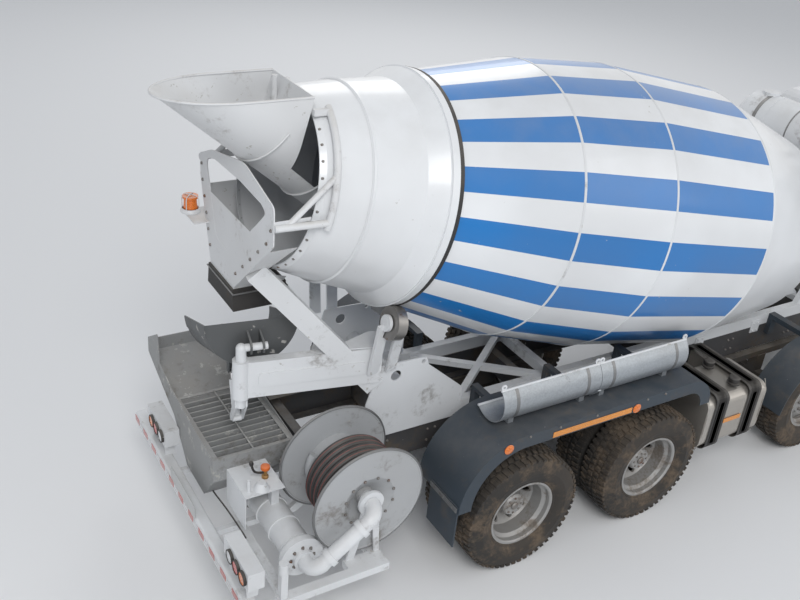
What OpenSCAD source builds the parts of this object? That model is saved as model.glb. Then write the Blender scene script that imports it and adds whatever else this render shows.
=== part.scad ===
// Concrete mixer truck with four axles, a hose reel and a small rear pump.
// Lengths are millimetres. The layout is measured from the rearmost axle on the ground,
// X forward, Y to the left, Z up, and every node is then moved so that the middle of the
// truck's box on the ground is the origin.

/* [Layout] */
// Distance between the two driven rear axles
drive_gap = 1380; // [1300:10:1450]
// Distance from the front driven axle to the second steered axle
middle_gap = 2300; // [2200:10:2600]
// Distance between the two steered axles
steer_gap = 1880; // [1860:10:1980]
// Front face ahead of the first axle
front_overhang = 1440; // [1430:5:1470]
// Hopper tip behind the rearmost axle
rear_overhang = 2480; // [2470:1:2495]
// Outside width over the rear tyres and bumper
body_w = 2500; // [2490:5:2540]

/* [Frame] */
// Top of the frame rails above the ground
rail_top = 1050; // [1040:1:1056]
// Height of a frame rail
rail_h = 270; // [240:5:290]
// Outside width over both frame rails
frame_w = 850; // [840:2:860]
// Flange width of a rail
rail_flange = 80; // [70:2:90]
// Plate thickness of a rail
rail_t = 9; // [7:0.5:11]
// Height of the mixer subframe on the rails
subframe_h = 120; // [110:1:124]
// Width of a subframe rail
subframe_w = 70; // [60:2:76]

/* [Wheels] */
// Outer radius of a tyre
tyre_r = 537; // [530:1:540]
// Width of a tyre over its sidewalls
tyre_w = 312; // [290:2:318]
// Radius of the wheel rim under the tyre bead
rim_r = 285; // [280:1:290]
// Middle of a single front tyre from the centre line
steer_track = 1020; // [1010:2:1040]
// Middle of a pair of rear tyres from the centre line
twin_track = 922; // [915:1:926]
// Distance between the middles of twin tyres
twin_gap = 344; // [338:1:350]
// Radius of a wheel spindle
spindle_r = 60; // [50:1:66]
// Kingpin from the centre line
kingpin_y = 880; // [870:2:890]

/* [Drum] */
// Height of the drum axis above the rearmost axle
drum_axis_z = 2782; // [2770:1:2800]
// Slope of the drum axis down to the front
drum_tilt = 12.48; // [12:0.02:12.8]
// Thickness of the drum wall
drum_wall = 8; // [5:0.5:12]
// Largest radius of the drum
drum_r = 1175; // [1160:1:1180]
// Radius of the roller track ring
track_r = 868; // [860:1:876]
// Station of the roller track ring along the axis
track_s = -811; // [-820:1:-800]
// Width of the roller track ring
track_w = 90; // [70:2:110]
// Radius of the drum mouth
mouth_r = 600; // [590:1:610]
// Station of the drum mouth
mouth_s = -1700; // [-1710:1:-1690]
// Radius of a support roller
roller_r = 125; // [115:1:130]
// Angle of a support roller from the drum's lowest line
roller_angle = 35; // [30:1:38]

/* [Cab] */
// Back wall of the cab ahead of the first axle, negative behind it
cab_back_offset = -510; // [-530:5:-480]
// Roof height of the cab
cab_top = 2960; // [2900:5:3000]
// Underside of the cab floor
cab_floor = 1180; // [1175:1:1200]
// Lower edge of the front panel
cab_nose_z = 875; // [872:1:890]
// Width of the cab
cab_w = 2460; // [2420:5:2480]
// Thickness of a cab wall or door
cab_wall = 60; // [50:1:66]
// Gap round a door
door_gap = 6; // [5:0.5:8]
// Height of the tilt pivot above the ground
tilt_z = 850; // [845:1:856]
// Tilt pivot behind the front face
tilt_back = 120; // [118:1:126]

/* [Rear end] */
// Height of the charging hopper's rim
hopper_top = 3785; // [3770:1:3800]
// Radius of the charging hopper's trough
hopper_r = 320; // [300:2:330]
// Slope of the charging hopper's trough
hopper_slope = 39.7; // [38:0.1:41]
// Rear plate of the discharge hopper behind the rearmost axle
spout_back = 1950; // [1945:1:1955]
// Half width of the discharge hopper
spout_half_w = 635; // [630:1:640]
// Sheet thickness of the hoppers
sheet = 6; // [4:0.5:8]
// Chute swivel axis behind the rearmost axle
swivel_back = 1973; // [1970:1:1980]
// Chute swivel axis from the centre line
swivel_y = -190; // [-195:1:-188]
// Height of the chute's tilt tube
chute_pivot_z = 1975; // [1965:1:1985]
// Height of the receiving grate
grate_z = 1100; // [1090:1:1110]
// Outer radius of the hose reel's discs
reel_r = 440; // [430:1:450]
// Height of the hose reel's axis
reel_z = 1045; // [1040:1:1050]
// Hose reel axis behind the rearmost axle
reel_back = 1350; // [1345:1:1360]

/* [Hidden] */
$fn = 64;

// Small gap at a seat between two pieces
seat_gap = 0.3;
// Signs of the two sides, looking forward
LEFT = 1;
RIGHT = -1;

axle_2_x = drive_gap + middle_gap;
axle_1_x = axle_2_x + steer_gap;
front_x = axle_1_x + front_overhang;
origin_shift = -(front_x - rear_overhang) / 2;
steer_xs = [axle_1_x, axle_2_x];
drive_xs = [drive_gap, 0];
rail_half = frame_w / 2;
rail_bottom = rail_top - rail_h;
subframe_top = rail_top + subframe_h;
side_y = body_w / 2;

// Geometry helpers

function unit(v) = v / norm(v);

// Points of one corner c between p and q, rounded with radius r in n steps
function corner(p, c, q, r, n) =
    let (u = unit(p - c), v = unit(q - c), a = acos(u * v), w = 180 - a,
        m = c + unit(u + v) * r / sin(a / 2),
        s = c + u * r / tan(a / 2) - m, e = c + v * r / tan(a / 2) - m)
    [for (k = [0:n]) m + (s * sin((1 - k / n) * w) + e * sin(k / n * w)) / sin(w)];

// Outline through corner rows [across, up, radius], with an arc at each radius above 0
function rounded(rows, n = 4) =
    let (l = len(rows), at = function(i) [rows[(i + l) % l][0], rows[(i + l) % l][1]])
    [for (i = [0:l - 1]) each rows[i][2] == 0 ? [at(i)]
        : corner(at(i - 1), at(i), at(i + 1), rows[i][2], n)];

module at_origin() translate([origin_shift, 0, 0]) children();

// Both sides of the truck
module both_sides() {
    children();
    mirror([0, 1, 0]) children();
}

module on_side(side) mirror([0, side == LEFT ? 0 : 1, 0]) children();

// Plate drawn in X and Z, from y0 to y1
module plate_xz(y0, y1)
    translate([0, y1, 0]) rotate([90, 0, 0]) linear_extrude(y1 - y0) children();

// Plate drawn in Y and Z, from x0 to x1
module plate_yz(x0, x1)
    translate([x0, 0, 0]) rotate([90, 0, 90]) linear_extrude(x1 - x0) children();

module box(x0, x1, y0, y1, z0, z1) translate([x0, y0, z0]) cube([x1 - x0, y1 - y0, z1 - z0]);

// Round bar between two points
module bar(p, q, r) {
    v = q - p;
    l = norm(v);
    translate(p) rotate([0, acos(v.z / l), atan2(v.y, v.x)]) cylinder(r = r, h = l);
}

// Square-edged beam between two points, w across and t deep
module beam(p, q, w, t) {
    v = q - p;
    l = norm(v);
    translate(p) rotate([0, acos(v.z / l), atan2(v.y, v.x)])
        translate([-t / 2, -w / 2, 0]) cube([t, w, l]);
}

// Cylinder along Y from y0 to y1
module rod_y(x, z, y0, y1, r) translate([x, y1, z]) rotate([90, 0, 0]) cylinder(r = r, h = y1 - y0);

// Cylinder along X from x0 to x1
module rod_x(y, z, x0, x1, r) translate([x0, y, z]) rotate([0, 90, 0]) cylinder(r = r, h = x1 - x0);

// Revolved section about an axis along Y: points are [radius, along Y]
module spun_y(x, y, z, points) translate([x, y, z]) rotate([-90, 0, 0]) rotate_extrude() polygon(points);

// The drum's own frame: local Z runs down its axis to the front
module drum_frame() translate([0, 0, drum_axis_z]) rotate([0, 90 + drum_tilt, 0]) children();

// Place in truck space of a drum point at station s, radius r and angle a from the lowest line
function drum_point(s, r, a) = [
    s * cos(drum_tilt) - r * cos(a) * sin(drum_tilt),
    r * sin(a),
    drum_axis_z - s * sin(drum_tilt) - r * cos(a) * cos(drum_tilt)];

// Frame

rail_end_x = -1500;
rail_front_x = front_x - 280;
// Cross members: place along the frame
cross_members = [-1480, -700, 690, 2100, 3000, 3900, 6400];

module frame_rail() {
    difference() {
        box(rail_end_x, rail_front_x, rail_half - rail_flange, rail_half, rail_bottom, rail_top);
        box(rail_end_x - 1, rail_front_x + 1, rail_half - rail_flange - 1, rail_half - rail_t,
            rail_bottom + rail_t, rail_top - rail_t);
    }
}

tilt_x = front_x - tilt_back;
tilt_arm_t = 25;
tilt_pin_r = 20;

// Arm that holds the cab's tilt pin in front of a rail
module tilt_arm() {
    plate_xz(rail_half, rail_half + tilt_arm_t)
        polygon(rounded([[rail_front_x - 260, rail_bottom, 0], [tilt_x + 45, tilt_z - 45, 40],
            [tilt_x + 45, tilt_z + 45, 40], [tilt_x - 60, tilt_z + 45, 30],
            [rail_front_x, rail_top - 60, 40], [rail_front_x - 260, rail_top, 0]]));
    rod_y(tilt_x, tilt_z, rail_half, rail_half + tilt_arm_t + 45, tilt_pin_r);
}

cab_back_x = axle_1_x + cab_back_offset;
cab_rest_x = cab_back_x + 100;

// Rear cab rest: a hoop across the frame with two pads under the cab floor
module cab_rest() {
    box(cab_rest_x, cab_rest_x + 90, -rail_half - 60, rail_half + 60, rail_top, rail_top + 60);
    for (side = [LEFT, RIGHT])
        translate([cab_rest_x + 45, side * (rail_half + 10), rail_top + 60])
            cylinder(r = 38, h = cab_floor - seat_gap - rail_top - 60);
}

module frame_rails() color("dimgray") at_origin() {
    both_sides() {
        frame_rail();
        tilt_arm();
    }
    for (x = cross_members)
        box(x, x + 80, -rail_half + rail_t / 2, rail_half - rail_t / 2, rail_bottom + 40, rail_top - 40);
    cab_rest();
}

// Axles and wheels

hub_clear = 0.3;
knuckle_gap = 6;
shaft_x = 4300;
shaft_z = 720;
spring_y = rail_half - rail_flange / 2 + 30;

// Leaf pack: flat leaves of falling length under a rail
module leaf_pack(x, half, leaves, z) {
    for (i = [0:leaves - 1])
        box(x - half * (1 - 0.17 * i), x + half * (1 - 0.17 * i), spring_y - 40, spring_y + 40,
            z - 16 * (i + 1), z - 16 * i + 0.5);
}

eye_r = 54;
eye_half = 58;
kingpin_r = 25;

// Dropped beam of a steered axle with its kingpin eyes, springs and shackles
module steer_beam(x) {
    spread = kingpin_y - 20;
    difference() {
        union() {
            plate_yz(x - 50, x + 50)
                polygon(rounded([[-spread, tyre_r - eye_half, 0], [-spread, tyre_r + eye_half, 0],
                    [-620, tyre_r + eye_half, 40], [-540, 490, 60], [540, 490, 60],
                    [620, tyre_r + eye_half, 40], [spread, tyre_r + eye_half, 0],
                    [spread, tyre_r - eye_half, 0], [600, tyre_r - eye_half, 40], [520, 380, 60],
                    [-520, 380, 60], [-600, tyre_r - eye_half, 40]]));
            for (side = [LEFT, RIGHT])
                translate([x, side * kingpin_y, tyre_r - eye_half]) cylinder(r = eye_r, h = 2 * eye_half);
        }
        for (side = [LEFT, RIGHT])
            translate([x, side * kingpin_y, tyre_r - 100]) cylinder(r = kingpin_r + hub_clear, h = 200);
    }
    both_sides() {
        leaf_pack(x, 760, 4, rail_bottom - 50);
        box(x - 60, x + 60, spring_y - 50, spring_y + 50, 489, rail_bottom - 100);
        for (end = [-1, 1])
            box(x + end * 740 - 35, x + end * 740 + 35, spring_y - 45, spring_y + 45,
                rail_bottom - 70, rail_bottom);
    }
}

module steer_axles() color("dimgray") at_origin() for (x = steer_xs) steer_beam(x);

drive_flange_y = 660;
wheel_hub_in = 690;

// Banjo housing of a driven axle, with its spindles and brake backing plates
module drive_axle(x) {
    translate([x, 0, tyre_r]) {
        rotate([0, 90, 0]) cylinder(r = 215, h = 190, center = true);
        rotate([0, 90, 0]) translate([0, 0, 90]) cylinder(r1 = 190, r2 = 90, h = 150);
    }
    rod_y(x, tyre_r, -drive_flange_y, drive_flange_y, 85);
    both_sides() {
        rod_y(x, tyre_r, drive_flange_y - 30, drive_flange_y, 195);
        rod_y(x, tyre_r, drive_flange_y - 1, twin_track + 60, spindle_r);
        box(x - 60, x + 60, spring_y - 50, spring_y + 50, tyre_r + 60, tyre_r + 110);
    }
}

bogie_x = drive_gap / 2;

// Centre trunnion, long springs and propeller shafts of the driven axles
module drive_axles() color("dimgray") at_origin() {
    for (x = drive_xs) drive_axle(x);
    both_sides() {
        plate_xz(spring_y - 45, spring_y + 45)
            polygon(rounded([[-90, tyre_r + 90, 0], [drive_gap + 90, tyre_r + 90, 0],
                [drive_gap + 90, tyre_r + 125, 20], [bogie_x + 330, 735, 60], [bogie_x - 330, 735, 60],
                [-90, tyre_r + 125, 20]]));
        plate_xz(spring_y - 60, spring_y + 60)
            polygon(rounded([[bogie_x - 150, tyre_r + 60, 40], [bogie_x + 150, tyre_r + 60, 40],
                [bogie_x + 190, rail_bottom, 0], [bogie_x - 190, rail_bottom, 0]]));
    }
    rod_x(0, tyre_r, 235, drive_gap - 90, 55);
    bar([drive_gap + 200, 0, tyre_r], [shaft_x - 12, 0, shaft_z], 55);
    rod_x(0, shaft_z, shaft_x - 22, shaft_x, 62);
}

// Half section of a tyre: [radius, across]
tyre_half = tyre_w / 2;
tyre_section = rounded([
    [rim_r, -tyre_half + 46, 0], [rim_r + 17, -tyre_half + 46, 0], [rim_r + 28, -tyre_half + 30, 0],
    [(tyre_r + rim_r) / 2, -tyre_half - 12, 110], [tyre_r - 8, -tyre_half + 18, 22],
    [tyre_r, -tyre_half + 52, 0], [tyre_r, tyre_half - 52, 0],
    [tyre_r - 8, tyre_half - 18, 22], [(tyre_r + rim_r) / 2, tyre_half + 12, 110],
    [rim_r + 28, tyre_half - 30, 0], [rim_r + 17, tyre_half - 46, 0], [rim_r, tyre_half - 46, 0]], 3);

module tyre_ring(x, y) spun_y(x, y, tyre_r, tyre_section);

barrel_t = 10;
// Barrel of a rim: [radius, across] with outboard positive
barrel_section = [
    [rim_r + 15, -125], [rim_r + 15, -116], [rim_r - hub_clear, -111], [rim_r - hub_clear, -70],
    [rim_r - 25, -45], [rim_r - 25, 60], [rim_r - hub_clear, 82], [rim_r - hub_clear, 111],
    [rim_r + 15, 116], [rim_r + 15, 125], [rim_r, 125], [rim_r - barrel_t, 115], [rim_r - barrel_t, 86],
    [rim_r - 25 - barrel_t, 65], [rim_r - 25 - barrel_t, -50], [rim_r - barrel_t, -74],
    [rim_r - barrel_t, -115], [rim_r, -125]];

disc_holes = 10;
disc_hole_r = 26;

// Dished disc of a wheel: its bolt face lies at across = face, with a ring of hand holes
module wheel_disc(face, rim_at) {
    difference() {
        rotate_extrude() polygon([[90, face], [178, face], [rim_r - 25 - barrel_t + 1, rim_at],
            [rim_r - 25 - barrel_t + 1, rim_at + 22], [184, face + 12], [90, face + 12]]);
        for (i = [0:disc_holes - 1])
            rotate([0, 0, i * 360 / disc_holes]) translate([213, 0, min(face, rim_at) - 60])
                cylinder(r = disc_hole_r, h = abs(face - rim_at) + 160);
    }
}

drum_brake_r = 205;
brake_t = 15;
// Inner face of a steered wheel's hub, across from the tyre's middle
steer_hub_in = kingpin_y + 82 - steer_track;
spindle_end = 90;

// Wheel of a steered axle: barrel, disc bulged outwards, hub and brake drum
module steer_wheel() {
    rotate_extrude() polygon(barrel_section);
    wheel_disc(70, 20);
    difference() {
        rotate_extrude() polygon([[0, 60], [0, 175], [70, 175], [92, 150], [104, 105], [120, 82], [180, 82],
            [180, 69], [drum_brake_r, 60], [drum_brake_r, steer_hub_in],
            [drum_brake_r - brake_t, steer_hub_in], [drum_brake_r - brake_t, 40], [110, 40],
            [110, steer_hub_in + 30], [0, steer_hub_in + 30]]);
        translate([0, 0, steer_hub_in]) cylinder(r = spindle_r + hub_clear, h = spindle_end - steer_hub_in);
    }
}

// Middle of the twin wheels' bolt faces, across from the pair's middle
twin_hub_in = wheel_hub_in - twin_track;

// Pair of rear wheels bolted back to back on one hub, outboard positive
module twin_wheels() {
    for (out = [0, 1]) mirror([0, 0, out]) translate([0, 0, -twin_gap / 2]) {
        rotate_extrude() polygon(barrel_section);
        wheel_disc(twin_gap / 2 - 12, 60);
    }
    difference() {
        rotate_extrude() polygon([[0, 0], [0, 190], [88, 190], [100, 176], [118, 60], [150, 40], [150, 12],
            [178, 12], [178, -12], [200, -30], [drum_brake_r, -60], [drum_brake_r, twin_hub_in],
            [drum_brake_r - brake_t, twin_hub_in], [drum_brake_r - brake_t, -50], [115, -50],
            [115, twin_hub_in + 30], [0, twin_hub_in + 30]]);
        translate([0, 0, twin_hub_in]) cylinder(r = spindle_r + hub_clear, h = 64 - twin_hub_in);
    }
}

module steer_tyre(axle, side) color("black") at_origin() on_side(side)
    tyre_ring(steer_xs[axle - 1], steer_track);

module steer_rim(axle, side) color("silver") at_origin() on_side(side)
    translate([steer_xs[axle - 1], steer_track, tyre_r]) rotate([-90, 0, 0]) steer_wheel();

module twin_tyres(axle, side) color("black") at_origin() on_side(side)
    for (step = [-1, 1]) tyre_ring(drive_xs[axle - 3], twin_track + step * twin_gap / 2);

module twin_rims(axle, side) color("silver") at_origin() on_side(side)
    translate([drive_xs[axle - 3], twin_track, tyre_r]) rotate([-90, 0, 0]) twin_wheels();

// Steering knuckle: fork on the kingpin, backing plate, spindle and steering arm
module knuckle(axle, side) color("dimgray") at_origin() on_side(side)
    translate([steer_xs[axle - 1], 0, tyre_r]) {
        translate([0, kingpin_y, -94]) cylinder(r = kingpin_r, h = 188);
        for (z = [-94, eye_half + knuckle_gap]) {
            translate([0, kingpin_y, z]) cylinder(r = 56, h = 30);
            translate([-56, kingpin_y, z]) cube([112, 64, 30]);
        }
        translate([-70, kingpin_y + 62, -94]) cube([140, 10, 188]);
        rod_y(0, 0, kingpin_y + 50 + eye_r - 42, kingpin_y + 70 - knuckle_gap + 12, 190);
        rod_y(0, 0, kingpin_y + 66, steer_track + spindle_end - 20, spindle_r);
        // Steering arm
        translate([-240, kingpin_y - 40, -94]) cube([220, 36, 29]);
        translate([-240, kingpin_y - 22, -94]) cylinder(r = 24, h = 29);
    }

// Engine block with its gearbox
module engine() color("slategray") at_origin() {
    box(axle_1_x - 260, axle_1_x + 760, -330, 330, 620, 1380);
    box(axle_1_x - 900, axle_1_x - 259, -220, 220, 620, 1020);
    rod_x(0, shaft_z, shaft_x + seat_gap, axle_1_x - 899, 60);
    // Mounts on the rails' lower flanges
    for (x = [axle_1_x - 120, axle_1_x + 560])
        box(x, x + 110, -rail_half + 15, rail_half - 15, rail_bottom + rail_t + seat_gap, rail_bottom + 90);
}

// Fuel tank

tank_x0 = 1970;
tank_x1 = 2730;
tank_z0 = 520;
tank_z1 = 1045;
tank_in = 680;
tank_out = 1220;
tank_corner = 90;
strap_t = 4;

module tank_outline(grow) polygon(rounded([
    [-tank_out - grow, tank_z0 - grow, tank_corner + grow],
    [-tank_in + grow, tank_z0 - grow, tank_corner + grow],
    [-tank_in + grow, tank_z1 + grow, tank_corner + grow],
    [-tank_out - grow, tank_z1 + grow, tank_corner + grow]], 6));

module fuel_tank() color("silver") at_origin() {
    plate_yz(tank_x0, tank_x1) tank_outline(0);
    for (at = [0.22, 0.78]) {
        x = tank_x0 + at * (tank_x1 - tank_x0);
        plate_yz(x - 30, x + 30) tank_outline(strap_t);
        // Bracket from the rail under the tank
        plate_yz(x - 25, x + 25)
            polygon([[-rail_half, rail_bottom + 40], [-rail_half, rail_top - 40], [-tank_in, rail_top - 40],
                [-tank_in, tank_z0], [-tank_out + 120, tank_z0], [-tank_out + 120, tank_z0 - 30],
                [-tank_in + 60, tank_z0 - 30]]);
    }
    translate([tank_x0 + 120, -tank_in - 150, tank_z1 - 1]) cylinder(r = 55, h = 36);
}

// Battery box, air tanks and silencer on the left side
module side_boxes() color("gray") at_origin() {
    plate_yz(tank_x0, tank_x0 + 420)
        polygon(rounded([[700, 560, 30], [1180, 560, 30], [1180, 1000, 40], [700, 1000, 40]]));
    box(tank_x0 + 40, tank_x0 + 380, rail_half, 701, 760, 800);
    for (z = [640, 900]) {
        rod_x(760, z, tank_x0 + 460, tank_x0 + 1000, 110);
        box(tank_x0 + 700, tank_x0 + 760, rail_half, 700, z + 20, z + 60);
    }
    box(tank_x0 + 700, tank_x0 + 760, 640, 662, 590, 960);
    plate_xz(700, 1180) translate([axle_2_x + 640, 520])
        polygon(rounded([[0, 0, 60], [560, 0, 60], [560, 480, 60], [0, 480, 60]]));
    box(axle_2_x + 800, axle_2_x + 860, rail_half, 701, 800, 860);
}

// Mudguards

guard_top = 1375;
guard_in = 690;
guard_sheet = 5;
skirt_h = 115;
guard_rear_r = 575;
guard_rear_z = 800;
guard_front_x = 1620;
guard_front_r = 280;

// Side shape under the long mudguard, drawn inside its sheet by d
module guard_shape(d) {
    intersection() {
        translate([-100, guard_rear_z]) circle(r = guard_rear_r - d);
        translate([-1000, guard_rear_z]) square([900.5, 900]);
    }
    translate([-100, guard_rear_z]) square([guard_front_x + 100, guard_top - d - guard_rear_z]);
    intersection() {
        translate([guard_front_x, guard_top - guard_front_r]) circle(r = guard_front_r - d);
        translate([guard_front_x - 0.5, guard_top - guard_front_r]) square([600, 600]);
    }
}

module guard_ring(d) difference() {
    guard_shape(0);
    guard_shape(d);
    translate([-2000, 0]) square([4500, guard_rear_z + 0.01]);
    translate([guard_front_x - 200, 0]) square([1000, guard_top - guard_front_r]);
    translate([-99, 0]) square([guard_front_x + 98, guard_top - max(d, guard_sheet)]);
}

flap_x = -740;

module rear_mudguard() {
    plate_xz(guard_in, side_y) guard_ring(guard_sheet);
    plate_xz(side_y - guard_sheet, side_y) guard_ring(skirt_h);
    // Brackets from the rail over and between the tyres
    for (x = [-60, 690, 1500]) {
        box(x, x + 60, rail_half, side_y - 60, guard_top - 112, guard_top - 75);
        box(x, x + 60, 720, 760, guard_top - 76, guard_top - guard_sheet + 0.5);
        box(x, x + 60, rail_half, rail_half + 50, rail_top - 160, guard_top - 111);
    }
    // Mud flap on the end of the guard
    box(-681, -669, 870, 1240, 475, guard_rear_z + 60);
}

module rear_mudguards() color("darkslategray") at_origin() both_sides() rear_mudguard();

arch_r = 625;
arch_t = 8;
arch_in = 865;
arch_out = side_y - 15;
step_x0 = axle_1_x + 660;
step_x1 = front_x - 420;

// Half-round mudguard over a steered wheel on an arm from the rail
module wheel_arch(x, z0) {
    plate_xz(arch_in, arch_out) difference() {
        translate([x, tyre_r]) circle(r = arch_r + arch_t);
        translate([x, tyre_r]) circle(r = arch_r);
        translate([x - 800, tyre_r - 800]) square([1600, 800 + z0]);
    }
    box(x - 40, x + 40, rail_half, arch_out - 30, tyre_r + arch_r - 50, tyre_r + arch_r + 1);
    box(x - 40, x + 40, rail_half, rail_half + 50, rail_top - 110, tyre_r + arch_r - 49);
}

// Cab step well with open treads
module step_well() {
    plate_yz(step_x0, step_x1) difference() {
        polygon(rounded([[860, 420, 0], [side_y - 10, 420, 30], [side_y - 10, 1090, 30], [860, 1090, 0]]));
        for (z = [460, 790]) translate([960, z]) square([300, 260]);
    }
    box(step_x0, step_x0 + 60, rail_half, 861, 880, 960);
}

module steer_mudguards() color("darkslategray") at_origin() both_sides() {
    for (x = steer_xs) wheel_arch(x, 60);
    step_well();
}

// Front bumper: a curved shell with lamp recesses, on the ends of the rails
bumper_top = 775;
bumper_bottom = 350;
bumper_t = 45;
front_tow_r = 16;

module bumper_plan(d) polygon(rounded([[front_x - 380, -side_y + d, 0], [front_x - 120, -side_y + d, 90],
    [front_x - d, -side_y + 330, 300], [front_x - d, side_y - 330, 300],
    [front_x - 120, side_y - d, 90], [front_x - 380, side_y - d, 0]], 6));

module front_bumper() color("white") at_origin() {
    difference() {
        translate([0, 0, bumper_bottom]) linear_extrude(bumper_top - bumper_bottom) bumper_plan(0);
        translate([0, 0, bumper_bottom - 1]) linear_extrude(bumper_top - bumper_bottom + 2)
            difference() {
                bumper_plan(bumper_t);
                translate([front_x - 40, -3000]) square([200, 6000]);
            }
        for (side = [LEFT, RIGHT])
            translate([front_x - 200, side * 950, 590]) rotate([0, 90, 0]) cylinder(r = headlamp_r, h = 300);
        translate([front_x - 25, -420, 520]) cube([100, 840, 180]);
        // Bore of the towing eye
        rod_x(-600, 480, front_x - 100, front_x + 10, front_tow_r);
    }
    for (side = [LEFT, RIGHT])
        box(rail_front_x - 60, front_x - bumper_t + 1, side * (rail_half - 40) - 35,
            side * (rail_half - 40) + 35, 640, rail_bottom - seat_gap);
}

// Rear end: underrun bar and lamp boxes

bar_x0 = -2360;
bar_x1 = -2260;
bar_z0 = 500;
bar_z1 = 620;
lamp_box_top = 890;
lamp_box_h = 150;
// Lamp boxes: right and left edge
lamp_boxes = [[470, 900], [-1220, -790]];

bar_reach_y = 385;
rear_tow_r = 20;
arm_h = 60;

// Shallow bracket that holds a lamp box over the bar
module lamp_bracket(y) {
    plate_xz(y, y + 8) polygon(rounded([[bar_x1 - 60, bar_z1 - 1, 0], [bar_x1 + 20, bar_z1 - 1, 0],
        [bar_x1 + 40, lamp_box_top - 3, 20], [bar_x0 + 23, lamp_box_top - 3, 0],
        [bar_x0 + 23, lamp_box_top - lamp_box_h + 5, 0],
        [bar_x1 - 70, lamp_box_top - lamp_box_h + 5, 10]]));
}

// Lamp box: folded sheet, open below and to the front
module lamp_box(y0, y1) {
    difference() {
        box(bar_x0 + 20, tray_x0 - 5, y0, y1, lamp_box_top - lamp_box_h, lamp_box_top);
        box(bar_x0 + 26, tray_x0 - 4, y0 + 6, y1 - 6, lamp_box_top - lamp_box_h - 1, lamp_box_top - 6);
    }
    for (y = [y0 + 60, y1 - 68]) lamp_bracket(y);
}

module underrun_bar() color("white") at_origin() {
    difference() {
        plate_xz(-1200, 1200) polygon(rounded([[bar_x0, bar_z0, 20], [bar_x1, bar_z0, 20],
            [bar_x1, bar_z1, 20], [bar_x0, bar_z1, 20]]));
        rod_x(0, (bar_z0 + bar_z1) / 2, bar_x0 - 10, bar_x1 + 10, rear_tow_r);
    }
    for (row = lamp_boxes) lamp_box(row[0], row[1]);
    both_sides() {
        // Arms from the frame ends
        plate_xz(bar_reach_y - 20, bar_reach_y + 20) polygon(rounded([[bar_x1 - 10, bar_z0 + 10, 0],
            [-1600, bar_z0 + 10, 30], [rail_end_x + 90, bar_z0 + 140, 20],
            [rail_end_x + 90, rail_bottom - seat_gap, 0], [rail_end_x + 10, rail_bottom - seat_gap, 0],
            [rail_end_x + 10, bar_z0 + 190, 20], [-1640, bar_z0 + arm_h, 30],
            [bar_x1 - 10, bar_z0 + arm_h, 0]]));
    }
}

// Lamps: headlamps, tail lamps on their boxes and the beacon
beacon_x = -spout_back - 60;
beacon_y = 690;
beacon_z = 2660;
headlamp_r = 115;

module tail_lamps(y0, y1) for (y = [y0 + 70 : 110 : y1 - 60])
    translate([bar_x0 + 20 - seat_gap, y, lamp_box_top - lamp_box_h / 2])
        rotate([0, -90, 0]) cylinder(r1 = 52, r2 = 45, h = 18);

module lamps() color("orange") at_origin() {
    for (side = [LEFT, RIGHT])
        translate([front_x - 165, side * 950, 590]) rotate([0, 90, 0])
            cylinder(r1 = 60, r2 = headlamp_r - seat_gap, h = 150);
    for (row = lamp_boxes) tail_lamps(row[0], row[1]);
    translate([beacon_x, beacon_y, beacon_z]) {
        cylinder(r = 60, h = 30);
        translate([0, 0, 29]) cylinder(r1 = 52, r2 = 46, h = 80);
        translate([0, 0, 108]) cylinder(r = 58, h = 16);
    }
}

// Mixer subframe

sub_x0 = -1230;
sub_x1 = 4560;
brace_z = rail_top + 70;

// Front pedestal: two triangular side plates joined by a cross plate under the gearbox
foot_depth = 330;
foot_s0 = 3700;
foot_s1 = 4020;

function foot_point(s) = let (p = drum_point(s, foot_depth + seat_gap, 0)) [p.x, p.z];

module front_pedestal() {
    difference() {
        plate_xz(215, 235) polygon([[3420, subframe_top - 1], foot_point(foot_s0), foot_point(foot_s1),
            [4300, subframe_top - 1]]);
        plate_xz(200, 250) polygon(rounded([[3560, subframe_top + 60, 30], [3690, 1480, 40],
            [3920, 1450, 40], [4130, subframe_top + 60, 30]]));
    }
}

module mixer_subframe() color("whitesmoke") at_origin() {
    both_sides() {
        box(sub_x0, sub_x1, rail_half - subframe_w, rail_half, rail_top, subframe_top);
        front_pedestal();
        // Water tank post
        box(4400, 4480, rail_half - 75, rail_half - 5, subframe_top - 1,
            tank_axis_z - water_r - saddle_h - seat_gap);
        plate_xz(rail_half - 70, rail_half - 10) polygon([[4401, 1760], [4401, 1890],
            [4075, subframe_top - 1], [4145, subframe_top - 1]]);
    }
    for (x = [3440, 4220]) box(x, x + 60, -rail_half + 30, rail_half - 30, subframe_top - 60, subframe_top);
    // Crossed braces between the rails ahead of the rear pedestal
    for (end = [-1, 1])
        beam([-150, end * 370, brace_z], [800, -end * 370, brace_z], 60, 50);
    box(820, 890, -rail_half + 30, rail_half - 30, rail_top + 20, subframe_top - 10);
}

// Rear pedestal: side plates, folded legs, arm and roller brackets

plate_y = rail_half + 25;
plate_t = 12;
roller_s = track_s;
roller_reach = track_r + roller_r + seat_gap;
roller_w = 80;
axle_r = 32;
pedestal_x0 = -1120;
pedestal_x1 = -180;

module pedestal_plate() {
    difference() {
        plate_xz(plate_y, plate_y + plate_t)
            polygon(rounded([[pedestal_x0, 1060, 0], [-1075, 1400, 0], [-980, 1730, 20], [-560, 1715, 50],
                [-540, 1640, 20], [pedestal_x1, 1330, 40], [pedestal_x1, 1060, 0]]));
        rod_y(-830, 1610, plate_y - 5, plate_y + 30, 45);
        rod_y(-590, 1680, plate_y - 5, plate_y + 30, 18);
    }
    box(pedestal_x0, pedestal_x1, rail_half + seat_gap, plate_y + 1, 1060, 1100);
    box(pedestal_x0, pedestal_x1, rail_half + seat_gap, plate_y + 1, 1110, subframe_top);
}

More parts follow.
